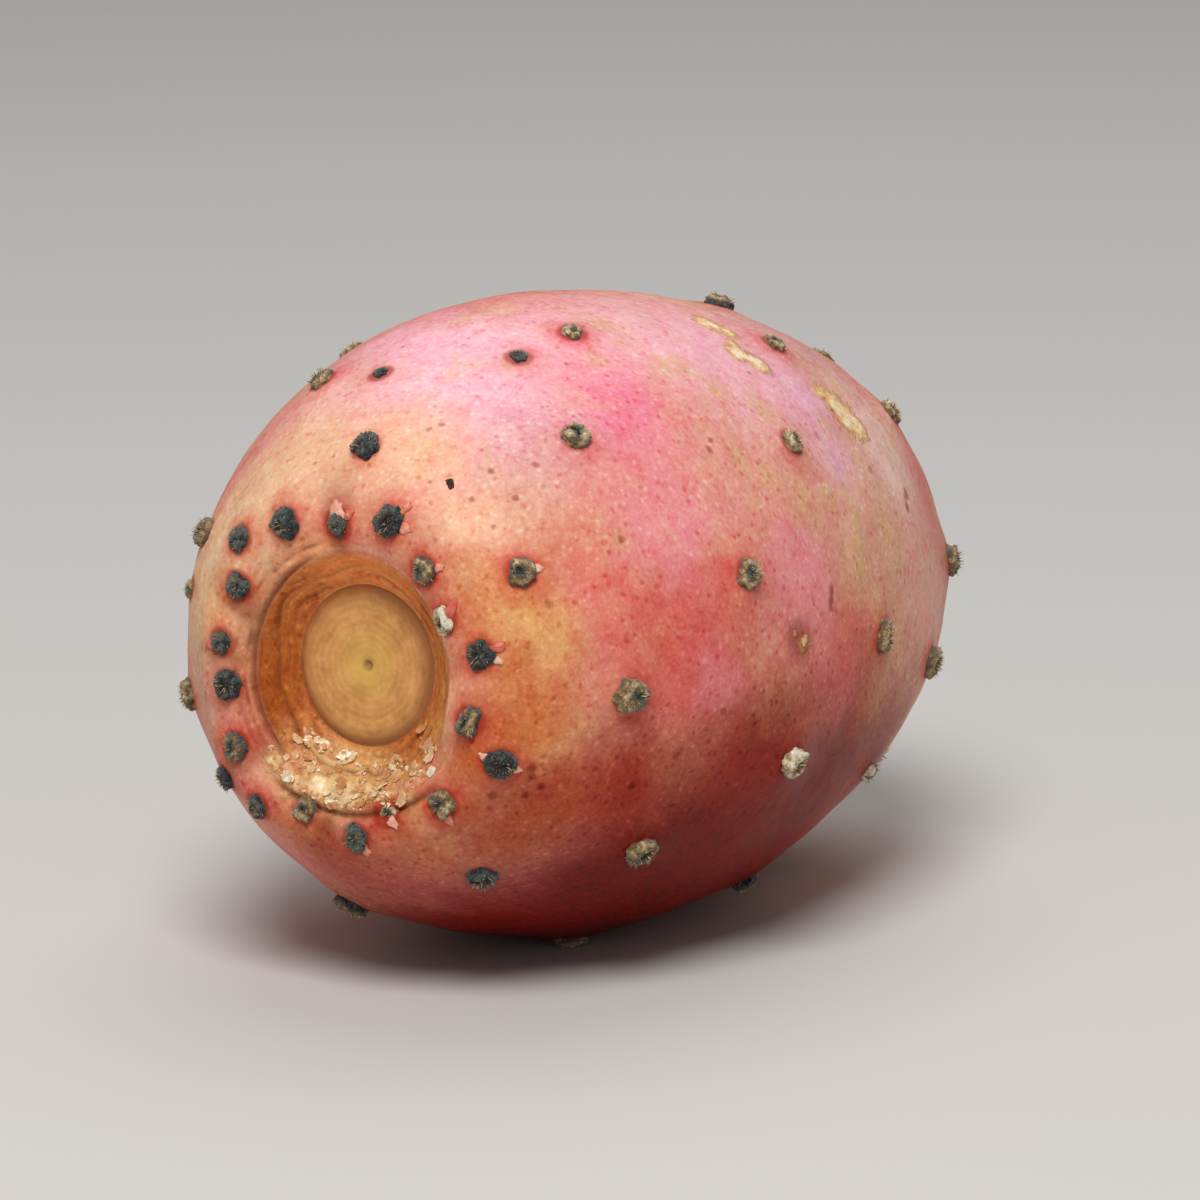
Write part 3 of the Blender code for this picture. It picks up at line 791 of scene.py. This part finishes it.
# place, finish (0 skin, 1 floor of the crown, 2 stem scar), halo, crease and bowl
def ringSpot(kind, value, angle):
    if kind == "bowl":
        point, halo, crease = bowlPoint(value, bowlDepth(value), angle)
        bowl = max(1 - smoothStep(9.5, 10.45, value), lipTint(0, angle))
        return point, int(value <= crown["floorEdge"]), halo, crease, bowl
    if kind == "skin":
        point, halo, crease = surfacePoint(value, angle)
        return point, 0, halo, crease, lipTint(value, angle)
    radius, height = smoothThrough(stem["ring"], value)
    point, halo, crease = stemPoint(radius, height, angle)
    return point, 2 if radius < stem["edge"] else 0, halo, crease, 0.0


def makeSkin(materials):
    rings = skinRings()
    ringCount = len(rings) + 1
    bpy.ops.mesh.primitive_uv_sphere_add(segments=skinMesh["sides"], ring_count=ringCount, radius=1)
    skin = bpy.context.active_object
    skin.name = "pearSkin"
    floorMiddle = bowlPoint(0, bowlDepth(0), 0)[0]
    stemMiddle = stemPoint(0, stem["ring"][-1][1], 0)[0]
    finishes, carried = [], []
    for vertex in skin.data.vertices:
        ring = round(math.acos(max(-1, min(1, vertex.co.z))) / math.pi * ringCount)
        if ring == 0:
            spot = floorMiddle, 1, 0.0, 0.0, 0.0
        elif ring == ringCount:
            spot = stemMiddle, 2, 0.0, 0.0, 0.0
        else:
            spot = ringSpot(*rings[ring - 1], math.atan2(vertex.co.y, vertex.co.x))
        vertex.co = spot[0]
        finishes.append(spot[1])
        carried.append((*spot[2:], blemishAt("stain", vertex.co), blemishAt("scar", vertex.co)))
    for name, values in zip(skinMesh["carries"], zip(*carried)):
        skin.data.attributes.new(name, "FLOAT", "POINT").data.foreach_set("value", values)
    layDown(skin, materials)
    for polygon in skin.data.polygons:
        corners = {finishes[i] for i in polygon.vertices}
        if len(corners) == 1:
            polygon.material_index = corners.pop()
    bpy.ops.object.shade_smooth()
    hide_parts("fruit")
    print("skin:", len(skin.data.vertices), "points")


# a piece's own tone, roughened by its coarsest grain, picks its colour, and its grains make its bumps
def makeToned(name, settings):
    material, tree, shader, place = startMaterial(name, settings["gloss"])
    below, grains = {}, []
    for size, detail, roughness, strength, height in settings["grains"]:
        grains.append(addNode(tree, "TexNoise", {"Scale": sized(size), "Detail": detail,
                                                 "Roughness": roughness, "Vector": place}))
        if strength:
            below["Normal"] = addNode(tree, "Bump", {"Strength": strength, "Distance": height * mm,
                                                     "Height": grains[-1], **below})
    low, high = settings["spread"]
    off = addNode(tree, "MapRange", {"clamp": False, 0: grains[0], 1: 0.3, 2: 0.7, 3: low, 4: high})
    tone = addNode(tree, "Attribute", {"attribute_name": "tone"}).outputs["Fac"]
    mixed = addNode(tree, "Math ADD", {0: tone, 1: off})
    colour = addNode(tree, "ValToRGB", {"stops": settings["stops"], "Fac": mixed})
    setUp(tree, shader, {"Base Color": colour, **below})
    return material


# One areole: a felt cushion with a dark hollow, on the swell of the skin. Felt is dense short wool, grey and
# brown from weather: it takes no gloss and its edges catch light. Its fibres are drawn coarser than real
# ones, so that they show.
areoleWool = {
    "length": 3.0,
    "width": 2.65,
    "height": 1.05,
    "sides": 40,
    "rings": 20,
    "lumps": ((0.28, 1.5), (0.16, 4.0)),  # height as a share of the cushion, and how often
    "furrows": (0.16, 5.5),
    "tints": ((0.4, 1.1), (0.35, 3.0)),
    "hollow": 0.36,
    "seed": 21,
    "hollows": (  # per variant: place and half length and half width, as shares of the cushion, and bend
        (0.05, 0.0, 0.62, 0.26, 0.3), (-0.15, 0.15, 0.4, 0.36, 0.0), (0.15, -0.12, 0.5, 0.32, 0.8),
        (-0.1, -0.1, 0.5, 0.22, -0.6), (0.18, 0.12, 0.36, 0.4, 0.0), (0.0, 0.1, 0.7, 0.22, -0.9),
        (-0.2, -0.12, 0.42, 0.32, 0.5),
    ),
    "gloss": {"Roughness": 0.9, "IOR": 1.4, "Sheen Weight": 0.35, "Sheen Roughness": 0.5},
    "grains": ((0.5, 4.0, 0.75, 0.9, 0.3), (0.16, 2.0, 0.8, 0.8, 0.1)),  # mm, detail, roughness and bump
    "spread": (-0.26, 0.28),
    "stops": ((0.0, "#120E0C"), (0.16, "#24282A"), (0.3, "#4E625C"), (0.42, "#5A4526"), (0.58, "#8C7046"),
              (0.74, "#B49A6C"), (0.88, "#D6C096"), (1.0, "#F2E8D4")),
}
# tone of the felt at its foot, on its crown and in the hollow
areoleLooks = {
    "black": (0.04, 0.15, 0.0),
    "teal": (0.1, 0.3, 0.04),
    "mottled": (0.22, 0.6, 0.02),
    "olive": (0.5, 0.64, 0.03),
    "tan": (0.48, 0.68, 0.05),
    "cream": (0.8, 1.0, 0.4),
}
# which look, and shares of the usual length towards the stem and width round the fruit
areoleFaces = {
    0: ("cream", 0.55, 0.9), 1: ("teal", 0.75, 0.75), 3: ("olive", 0.65, 0.75), 4: ("teal", 0.85, 0.9),
    5: ("mottled", 0.6, 1.0), 6: ("black", 0.8, 0.85), 7: ("mottled", 0.75, 0.95), 8: ("olive", 0.75, 0.8),
    9: ("teal", 0.62, 0.66), 10: ("olive", 0.8, 0.85), 11: ("teal", 0.8, 0.85), 12: ("black", 0.88, 0.92),
    13: ("mottled", 0.8, 1.0), 14: ("black", 1.05, 1.02), 15: ("teal", 0.75, 0.75), 16: ("black", 0.85, 0.9),
    17: ("black", 0.85, 0.85), 18: ("teal", 0.75, 0.8), 19: ("mottled", 0.85, 0.9), 20: ("black", 0.8, 0.8),
    21: ("black", 1, 1), 22: ("teal", 0.95, 1), 23: ("olive", 1, 1), 24: ("tan", 1, 1), 25: ("olive", 1, 1),
    26: ("tan", 1.05, 1), 27: ("mottled", 1, 1), 28: ("olive", 1, 0.9), 29: ("tan", 0.95, 1.1),
    31: ("olive", 0.95, 0.95), 33: ("tan", 0.8, 0.7), 36: ("cream", 0.95, 0.9), 38: ("tan", 0.75, 0.75),
    43: ("tan", 0.8, 1.2), 45: ("tan", 0.8, 0.8), 48: ("cream", 0.9, 0.9), 55: ("olive", 1, 1),
    57: ("tan", 0.8, 0.8), 101: ("black", 1, 1), 102: ("teal", 0.85, 0.85),
}


def areoleSpot(distance, angle):
    point = skinPoint(distance, angle)
    forward, around, out = skinAxes(distance, angle)
    lift = skinRelief(distance, angle, point)[0]
    turn = Matrix((forward, around, out)).transposed().to_4x4()
    return Matrix.Translation(point + out * (lift - 0.06)) @ turn


def addTones(piece, tones):
    piece.data.attributes.new("tone", "FLOAT", "POINT").data.foreach_set("value", tones)


def joinPieces(pieces, name):
    bpy.ops.object.select_all(action="DESELECT")
    for piece in pieces:
        piece.select_set(True)
    bpy.context.view_layer.objects.active = pieces[0]
    bpy.ops.object.join()
    joined = bpy.context.active_object
    joined.name = name
    return joined


def finishPiece(pieces, name, material, patterns=()):
    for pattern in patterns:
        bpy.data.objects.remove(pattern)
    piece = joinPieces(pieces, name)
    layDown(piece, [material])
    bpy.ops.object.shade_smooth()
    print(name + ":", len(pieces), "of them,", len(piece.data.polygons), "faces")


def copyPiece(source, matrix):
    copy = source.copy()
    copy.data = source.data.copy()
    bpy.context.scene.collection.objects.link(copy)
    copy.data.transform(matrix)
    return copy


def makeCushion(variant):
    bpy.ops.mesh.primitive_uv_sphere_add(segments=areoleWool["sides"], ring_count=areoleWool["rings"],
                                         radius=1)
    cushion = bpy.context.active_object
    cushion.name = "cushion"
    shift = Vector((variant * 7.3, 1.7, 4.1))
    turn = 0.9 + variant * 1.3
    right, up, halfLength, halfWidth, bend = areoleWool["hollows"][variant]
    shares = []
    for vertex in cushion.data.vertices:
        share, often = areoleWool["furrows"]
        wool = sum(high * noise(vertex.co * near + shift) for high, near in areoleWool["lumps"])
        wool -= share * abs(noise(vertex.co * often - shift))
        tint = sum(strong * noise(vertex.co * near - shift) for strong, near in areoleWool["tints"])
        spot = vertex.co - Vector((right, up, 0))
        ahead = spot.x * math.cos(turn) + spot.y * math.sin(turn)
        across = spot.y * math.cos(turn) - spot.x * math.sin(turn) + bend * ahead * ahead
        vertex.co *= 1 + wool
        hollow, low = 0.0, 1.0
        if vertex.co.z > 0:
            hollow = math.exp(-((ahead / halfLength) ** 4) - (across / halfWidth) ** 2)
            low = 1 - smoothStep(0.15, 0.6, vertex.co.z)
            vertex.co.z = vertex.co.z**0.85 - areoleWool["hollow"] * hollow
        shares.append((hollow, low, tint))
    return cushion, shares


def makeAreoles(material):
    draw = random.Random(areoleWool["seed"])
    variants = [makeCushion(i) for i in range(len(areoleWool["hollows"]))]
    cushions = []
    for index, distance, angle, size in areolePlaces:
        usual = (draw.choice(("teal", "olive", "tan", "mottled", "olive", "tan")), 1, 1)
        look, longer, wider = areoleFaces.get(index, usual)
        foot, crest, hollow = areoleLooks[look]
        source, shares = variants[draw.randrange(len(variants))]
        stretch = (areoleWool["length"] / 2 * size * longer * draw.uniform(0.95, 1.08),
                   areoleWool["width"] / 2 * size * wider * draw.uniform(0.95, 1.06),
                   areoleWool["height"] * size * draw.uniform(0.8, 1.0) * (longer + wider) / 2, 1)
        spin = Matrix.Rotation(draw.uniform(-0.5, 0.5), 4, "Z")
        place = areoleSpot(distance, angle)
        cushion = copyPiece(source, place @ spin @ Matrix.Diagonal(stretch))
        addTones(cushion, [crest * (1 + tint) + (foot - crest) * low + (hollow - crest) * deep
                           for deep, low, tint in shares])
        cushions.append(cushion)
    finishPiece(cushions, "areoleFelt", material, [source for source, shares in variants])


# Bristles in the hollow of each areole: short, brown to straw, with a slight gloss. They are drawn thicker
# than real ones, so that they show.
bristles = {
    "length": (0.3, 0.72),
    "width": 0.06,
    "tip": 0.006,
    "perTuft": 56,
    "tufts": 4,
    "reach": (1.2, 1.05),  # how far out they stand, towards the stem and round the fruit
    "rise": (0.35, 0.4),  # height of their feet at the edge, and how much more in the middle
    "lean": 0.75,
    "seed": 33,
    "gloss": {"Roughness": 0.45, "IOR": 1.5},
    "grains": ((0.4, 1.0, 0.5, 0, 0),),
    "spread": (0.09, 0.21),
    "stops": ((0.0, "#2A1A10"), (0.4, "#6B4A25"), (0.75, "#B28A4C"), (1.0, "#E2CFA0")),
}


def makeTuft(variant):
    draw = random.Random(300 + variant)
    bpy.ops.mesh.primitive_cone_add(vertices=3, radius1=bristles["width"], radius2=bristles["tip"], depth=1,
                                    location=(0, 0, 0.5), end_fill_type="NGON")
    bristle = bpy.context.active_object
    bpy.ops.object.transform_apply(location=True, rotation=True, scale=True)
    reach, reachRound = bristles["reach"]
    edgeRise, middleRise = bristles["rise"]
    copies = []
    for i in range(bristles["perTuft"]):
        away = 0.95 * math.sqrt(draw.random())
        side = draw.uniform(0, math.tau)
        height = draw.uniform(*bristles["length"])
        lean = Matrix.Rotation(bristles["lean"] * (0.25 + away) * draw.uniform(0.6, 1.5), 4, "Y")
        turn = Matrix.Rotation(side + draw.uniform(-0.5, 0.5), 4, "Z")
        rise = edgeRise + middleRise * (1 - away * away)
        foot = Matrix.Translation((away * reach * math.cos(side), away * reachRound * math.sin(side), rise))
        copy = copyPiece(bristle, foot @ turn @ lean @ Matrix.Diagonal((1, 1, height, 1)))
        addTones(copy, [draw.random()] * len(copy.data.vertices))
        copies.append(copy)
    bpy.data.objects.remove(bristle)
    return joinPieces(copies, "tuft")


def makeBristles(material):
    draw = random.Random(bristles["seed"])
    variants = [makeTuft(i) for i in range(bristles["tufts"])]
    tufts = []
    for index, distance, angle, size in areolePlaces:
        look, longer, wider = areoleFaces.get(index, ("", 1, 1))
        spin = Matrix.Rotation(draw.uniform(0, math.tau), 4, "Z")
        stretch = Matrix.Diagonal((longer, wider, (longer + wider) / 2, 1))
        place = areoleSpot(distance, angle) @ stretch
        tufts.append(copyPiece(draw.choice(variants), place @ spin @ Matrix.Scale(size * 0.95, 4)))
    finishPiece(tufts, "areoleBristles", material, variants)


# thin lumps that hug the skin: each has a distance, angle, length, width, turn, height and tone
def makeLumps(name, settings, places, material):
    bpy.ops.mesh.primitive_uv_sphere_add(segments=settings["sides"], ring_count=12, radius=1)
    source = bpy.context.active_object
    lumps = [makeLump(source, settings, number, *place) for number, place in enumerate(places)]
    finishPiece(lumps, name, material, [source])


def makeLump(source, settings, number, distance, angle, length, width, turn, height, tone):
    lump = copyPiece(source, Matrix.Identity(4))
    radius = outlineAt(distance)[1]
    cosine, sine = math.cos(math.radians(turn)), math.sin(math.radians(turn))
    seed, ragged, taper = settings["seed"] + number, settings["ragged"], settings["taper"]
    shift = Vector((seed * 3.7, seed * 1.3, 0.5))
    tones = []
    for vertex in lump.data.vertices:
        x, y, z = vertex.co
        edge = 1 + ragged * noise(Vector((x, y, 0)) * 1.7 + shift)
        edge += 0.4 * ragged * noise(Vector((x, y, 0)) * 4.5 + shift)
        u, v = x * length / 2 * edge, y * width / 2 * edge * (1 - taper * x)
        ahead, aside = u * cosine - v * sine, u * sine + v * cosine
        if z > 0:
            rise = height * z**0.7 * (1 + 0.5 * noise(Vector((x, y, z)) * 2.5 + shift))
        else:
            rise = 0.35 * z
        place = distance + ahead, angle + aside / radius
        vertex.co = surfacePoint(*place)[0] + skinAxes(*place)[2] * rise
        tones.append(settings["shade"](tone, max(z, 0)))
    addTones(lump, tones)
    return lump


# Leaf bases beside the areoles of the lip: small fleshy scales, red to cream, smooth and a little moist;
# their paler tops are partly painted highlight.
leafBases = {
    "places": (  # areole, mm towards the stem and round, length, width and paleness
        (9, 1.1, 0.1, 1.5, 1.3, 0.8), (9, 0.9, -1.2, 0.9, 0.8, 0.25), (14, 1.5, -0.9, 1.2, 0.9, 0.4),
        (14, 0.2, -1.7, 1.0, 0.8, 0.55), (12, 1.5, 0.3, 1.2, 0.9, 0.2), (12, 1.3, -0.8, 0.8, 0.6, 0.9),
        (17, 1.4, -0.2, 0.8, 0.6, 0.85), (17, -1.3, 0.2, 0.8, 0.7, 0.85), (0, 1.1, 0.4, 1.3, 1.0, 0.2),
        (19, 1.4, -0.3, 0.9, 0.7, 0.9), (3, 1.1, 0.3, 1.1, 0.8, 0.8), (10, 1.4, -0.8, 1.1, 0.8, 0.5),
        (18, 1.2, 0.6, 1.0, 0.8, 0.2), (16, 1.3, 0.6, 0.9, 0.7, 0.35), (21, 1.6, 0.5, 0.8, 0.6, 0.8),
        (15, 1.2, 0.7, 0.9, 0.8, 0.5), (7, 1.2, -0.9, 0.8, 0.7, 0.5),
    ),
    "height": 0.2,
    "sides": 20,
    "seed": 0,
    "ragged": 0.5,
    "taper": 0.4,
    # each is paler towards its top: partly the scale's own cream, partly a painted highlight
    "shade": lambda tone, rise: 0.8 * tone + 0.25 * rise - 0.15,
    "gloss": {"Roughness": 0.42, "IOR": 1.42, "Subsurface Weight": 0.08, "Subsurface Scale": 0.0006},
    "grains": ((0.7, 3.0, 0.65, 0.6, 0.1),),
    "spread": (-0.18, 0.18),
    "stops": ((0.0, "#CC5A44"), (0.35, "#DC7A62"), (0.75, "#EBB496"), (1.0, "#F3DCC6")),
}


def makeLeafBases(material):
    spots = {index: (distance, angle) for index, distance, angle, size in areolePlaces}
    places = []
    for index, ahead, aside, length, width, pale in leafBases["places"]:
        distance, angle = spots[index]
        distance += ahead
        angle += aside / outlineAt(distance)[1]
        turn = math.degrees(math.atan2(aside, ahead))
        places.append((max(distance, 0.3), angle, length * 1.2, width, turn, leafBases["height"], pale))
    makeLumps("leafBases", leafBases, places, material)


# Corky marks that stand up: old rubs, dry and matt, dark to cream.
skinMarks = {
    "places": (  # distance, angle, length, width, turn from the axis, height and tone
        (36.6, 272.2, 1.1, 0.8, 70, 0.12, 0.72), (35.3, 274.0, 0.8, 0.5, 30, 0.08, 0.5),
        (8.4, 333, 1.0, 0.75, 60, 0.14, 0.02), (58.8, 311.0, 1.2, 0.7, -60, 0.05, 0.95),
        (91.5, 68, 6.5, 4.2, 15, 0.2, 0.74), (90.6, 64, 3.6, 2.6, 0, 0.34, 0.92),
        (94, 84, 3.2, 2.2, 60, 0.22, 0.6),
    ),
    "sides": 24,
    "seed": 40,
    "ragged": 0.55,
    "taper": 0.0,
    "shade": lambda tone, rise: tone * (0.62 + 0.38 * smoothStep(0.1, 0.75, rise)),
    "gloss": {"Roughness": 0.7, "IOR": 1.42},
    "grains": ((0.5, 3.0, 0.65, 0.6, 0.08),),
    "spread": (-0.12, 0.12),
    "stops": ((0.0, "#1E120C"), (0.22, "#7C2E1C"), (0.45, "#C47C50"), (0.65, "#D2A474"), (0.82, "#E4C69A"),
              (1.0, "#F6E6C6")),
}


def makeSkinMarks(material):
    places = [(distance, math.radians(angle), *rest) for distance, angle, *rest in skinMarks["places"]]
    makeLumps("corkyMarks", skinMarks, places, material)


# Dry crumbs and thin flakes, cream to brown: papery and pale on the crown's lower wall and lip, browner
# and duller on one side of the stem scar. On the crown the palest are partly painted glints.
crownCrust = {
    "crumbs": 130,
    "flakes": 46,
    "angles": (128, 240),
    "radii": (7.4, 11.2),  # past the crest they lie on the lip
    "size": (0.35, 1.1),
    "thickness": 0.07,
    "seed": 12,
    "gloss": {"Roughness": 0.2, "IOR": 1.5, "Subsurface Weight": 0.2, "Subsurface Scale": 0.0008},
    "grains": ((0.4, 3.0, 0.65, 0.6, 0.08),),
    "spread": (-0.25, 0.25),
    # the near-white end is partly painted glints
    "stops": ((0.0, "#CC8450"), (0.4, "#E6B07C"), (0.75, "#F4D8B2"), (1.0, "#FFF6E8")),
}
stemCrumbs = {
    "crumbs": 70,
    "flakes": 14,
    "angles": (165, 290),
    "radii": (4.2, 6.3),
    "size": (0.3, 1.2),
    "thickness": 0.1,
    "seed": 14,
    "gloss": {"Roughness": 0.7, "IOR": 1.45},
    "grains": ((0.4, 3.0, 0.65, 0.6, 0.1),),
    "spread": (-0.2, 0.2),
    "stops": ((0.0, "#6E4020"), (0.35, "#C0754A"), (0.7, "#E0A884"), (1.0, "#E8D2A8")),
}


# how crumbs and flakes lie, in mm and radians
crustLie = {
    "gathered": 0.4,  # share of them that lies towards the middle of the side
    "crumbRaised": 0.04,
    "flakeRaised": 0.12,
    "lean": (0.4, 0.3),
    "spin": 0.9,
}


def crownSurface(radius, angle):
    if radius < crown["lipRadius"]:
        return bowlPoint(radius, bowlDepth(radius), angle)[0]
    return surfacePoint(radius - crown["lipRadius"], angle)[0]


def stemSurface(radius, angle):
    ring = stem["ring"][::-1]
    k = min(max(bisect.bisect([r for r, h in ring], radius), 1), len(ring) - 1)
    share = (radius - ring[k - 1][0]) / (ring[k][0] - ring[k - 1][0])
    return stemPoint(radius, ring[k - 1][1] + (ring[k][1] - ring[k - 1][1]) * share, angle)[0]


# a frame at a place on one of the two: X round the fruit, Z out of the surface
def endSpot(surface, end, radius, angle):
    around = (surface(radius, angle + 0.03) - surface(radius, angle - 0.03)).normalized()
    out = (surface(radius + 0.15, angle) - surface(radius - 0.15, angle)).cross(around).normalized()
    if out.x * end < 0:
        out = -out
    axes = Matrix((around, out.cross(around).normalized(), out)).transposed().to_4x4()
    return Matrix.Translation(surface(radius, angle)) @ axes


def makeFlake(draw, number, settings):
    bpy.ops.mesh.primitive_grid_add(x_subdivisions=6, y_subdivisions=5, size=2)
    flake = bpy.context.active_object
    size = draw.uniform(*settings["size"]) / 2
    stretch, curl = draw.uniform(1.0, 1.7), draw.uniform(-0.5, 0.6)
    shift = Vector((number * 5.1, 2.2, 0))
    for vertex in flake.data.vertices:
        x, y = vertex.co.x, vertex.co.y
        squeeze = (1 + 0.5 * noise(vertex.co * 1.3 + shift)) / max(1, math.hypot(x, y) / 1.05)
        lump = curl * x * x * 0.5 + 0.25 * noise(vertex.co * 1.8 + shift)
        vertex.co = Vector((x * squeeze * stretch, y * squeeze, lump)) * size
    solid = flake.modifiers.new("thickness", "SOLIDIFY")
    solid.thickness = settings["thickness"]
    bpy.ops.object.modifier_apply(modifier=solid.name)
    return flake


def makeCrumb(draw, number, settings):
    bpy.ops.mesh.primitive_ico_sphere_add(subdivisions=1, radius=1)
    crumb = bpy.context.active_object
    size = 0.8 * settings["size"][0] * draw.uniform(0.35, 1.0) ** 1.5
    stretch = draw.uniform(1.0, 2.2)
    for vertex in crumb.data.vertices:
        ragged = 1 + 0.9 * noise(vertex.co * 1.5 + Vector((number * 2.9, 0.4, 0)))
        vertex.co = Vector((vertex.co.x * stretch, vertex.co.y, vertex.co.z * 0.7)) * ragged * size
    return crumb


def makeCrust(name, settings, surface, end, material):
    draw = random.Random(settings["seed"])
    pieces = []
    low, high = settings["angles"]
    leanRound, leanOut = crustLie["lean"]
    for number in range(settings["crumbs"] + settings["flakes"]):
        flake = number < settings["flakes"]
        piece = (makeFlake if flake else makeCrumb)(draw, number, settings)
        gathered = draw.random() < crustLie["gathered"]
        angle = math.radians(draw.triangular(low, high) if gathered else draw.uniform(low, high))
        radius = draw.uniform(*settings["radii"])
        lean = Matrix.Rotation(draw.uniform(-leanRound, leanRound), 4, "X")
        lean @= Matrix.Rotation(draw.uniform(-leanOut, leanOut), 4, "Y")
        spin = Matrix.Rotation(draw.uniform(-crustLie["spin"], crustLie["spin"]), 4, "Z")
        up = Matrix.Translation((0, 0, crustLie["flakeRaised" if flake else "crumbRaised"]))
        piece.data.transform(endSpot(surface, end, radius, angle) @ up @ spin @ lean)
        addTones(piece, [draw.random() ** 1.3 * 0.9] * len(piece.data.vertices))
        pieces.append(piece)
    finishPiece(pieces, name, material)
    bpy.ops.object.shade_smooth_by_angle(angle=math.radians(50))


# the camera, and a plain studio: a matt pale floor that takes a soft shadow, and two broad lights
view = {
    "azimuth": -59.34,
    "elevation": 11.637,
    "target": (0.003, 0.0, 0.0273),
    "distance": 0.55,
    "lens": 185.6,
}
studio = {
    "floor": {"Base Color": "#CFCCC8", "Roughness": 0.9},
    "sky": {"Color": "#EFEFF2", "Strength": 0.24},
    "lights": (  # name, azimuth, elevation, distance, size and power
        ("keySoftbox", -66, 53, 1.0, 0.5, 8.2), ("backSoftbox", 110, 62, 1.2, 1.0, 3.8),
    ),
}


# from the target towards a place round it
def lookBack(azimuth, elevation):
    turn, rise = math.radians(azimuth), math.radians(elevation)
    return Vector((math.sin(turn) * math.cos(rise), -math.cos(turn) * math.cos(rise), math.sin(rise)))


def makeStage():
    bpy.ops.mesh.primitive_plane_add(size=12, location=(0, 0, -0.00005))
    floor = bpy.context.active_object
    floor.name = "paleFloor"
    material = bpy.data.materials.new("mattPaleFloor")
    material.use_nodes = True
    setUp(material.node_tree, material.node_tree.nodes["Principled BSDF"], studio["floor"])
    floor.data.materials.append(material)
    world = bpy.data.worlds.new("studio")
    bpy.context.scene.world = world
    world.use_nodes = True
    setUp(world.node_tree, world.node_tree.nodes["Background"], studio["sky"])
    for name, azimuth, elevation, distance, size, power in studio["lights"]:
        back = lookBack(azimuth, elevation)
        bpy.ops.object.light_add(type="AREA", location=Vector(view["target"]) + back * distance)
        light = bpy.context.active_object
        light.name = name
        light.data.shape = "DISK"
        light.data.size = size
        light.data.energy = power
        light.rotation_euler = (-back).to_track_quat("-Z", "Y").to_euler()


def makeCamera():
    back = lookBack(view["azimuth"], view["elevation"])
    bpy.ops.object.camera_add(location=Vector(view["target"]) + back * view["distance"])
    camera = bpy.context.active_object
    camera.rotation_euler = (-back).to_track_quat("-Z", "Y").to_euler()
    camera.data.lens = view["lens"]
    camera.data.clip_start = 0.01
    bpy.context.scene.camera = camera


makeSkin([makePearSkin(), makeFlowerScar(), makeStemCork()])  # skin, floor of the crown, stem scar
makeAreoles(makeToned("weatheredAreoleFelt", areoleWool))
makeBristles(makeToned("dryBristle", bristles))
makeLeafBases(makeToned("fleshyLeafBase", leafBases))
makeSkinMarks(makeToned("corkyMark", skinMarks))
makeCrust("crownCrust", crownCrust, crownSurface, -1, makeToned("dryCrust", crownCrust))
makeCrust("stemCrumbs", stemCrumbs, stemSurface, 1, makeToned("corkCrumb", stemCrumbs))
makeStage()
makeCamera()
print("studio: floor, lights and camera")
bpy.context.scene.view_settings.view_transform = "Standard"
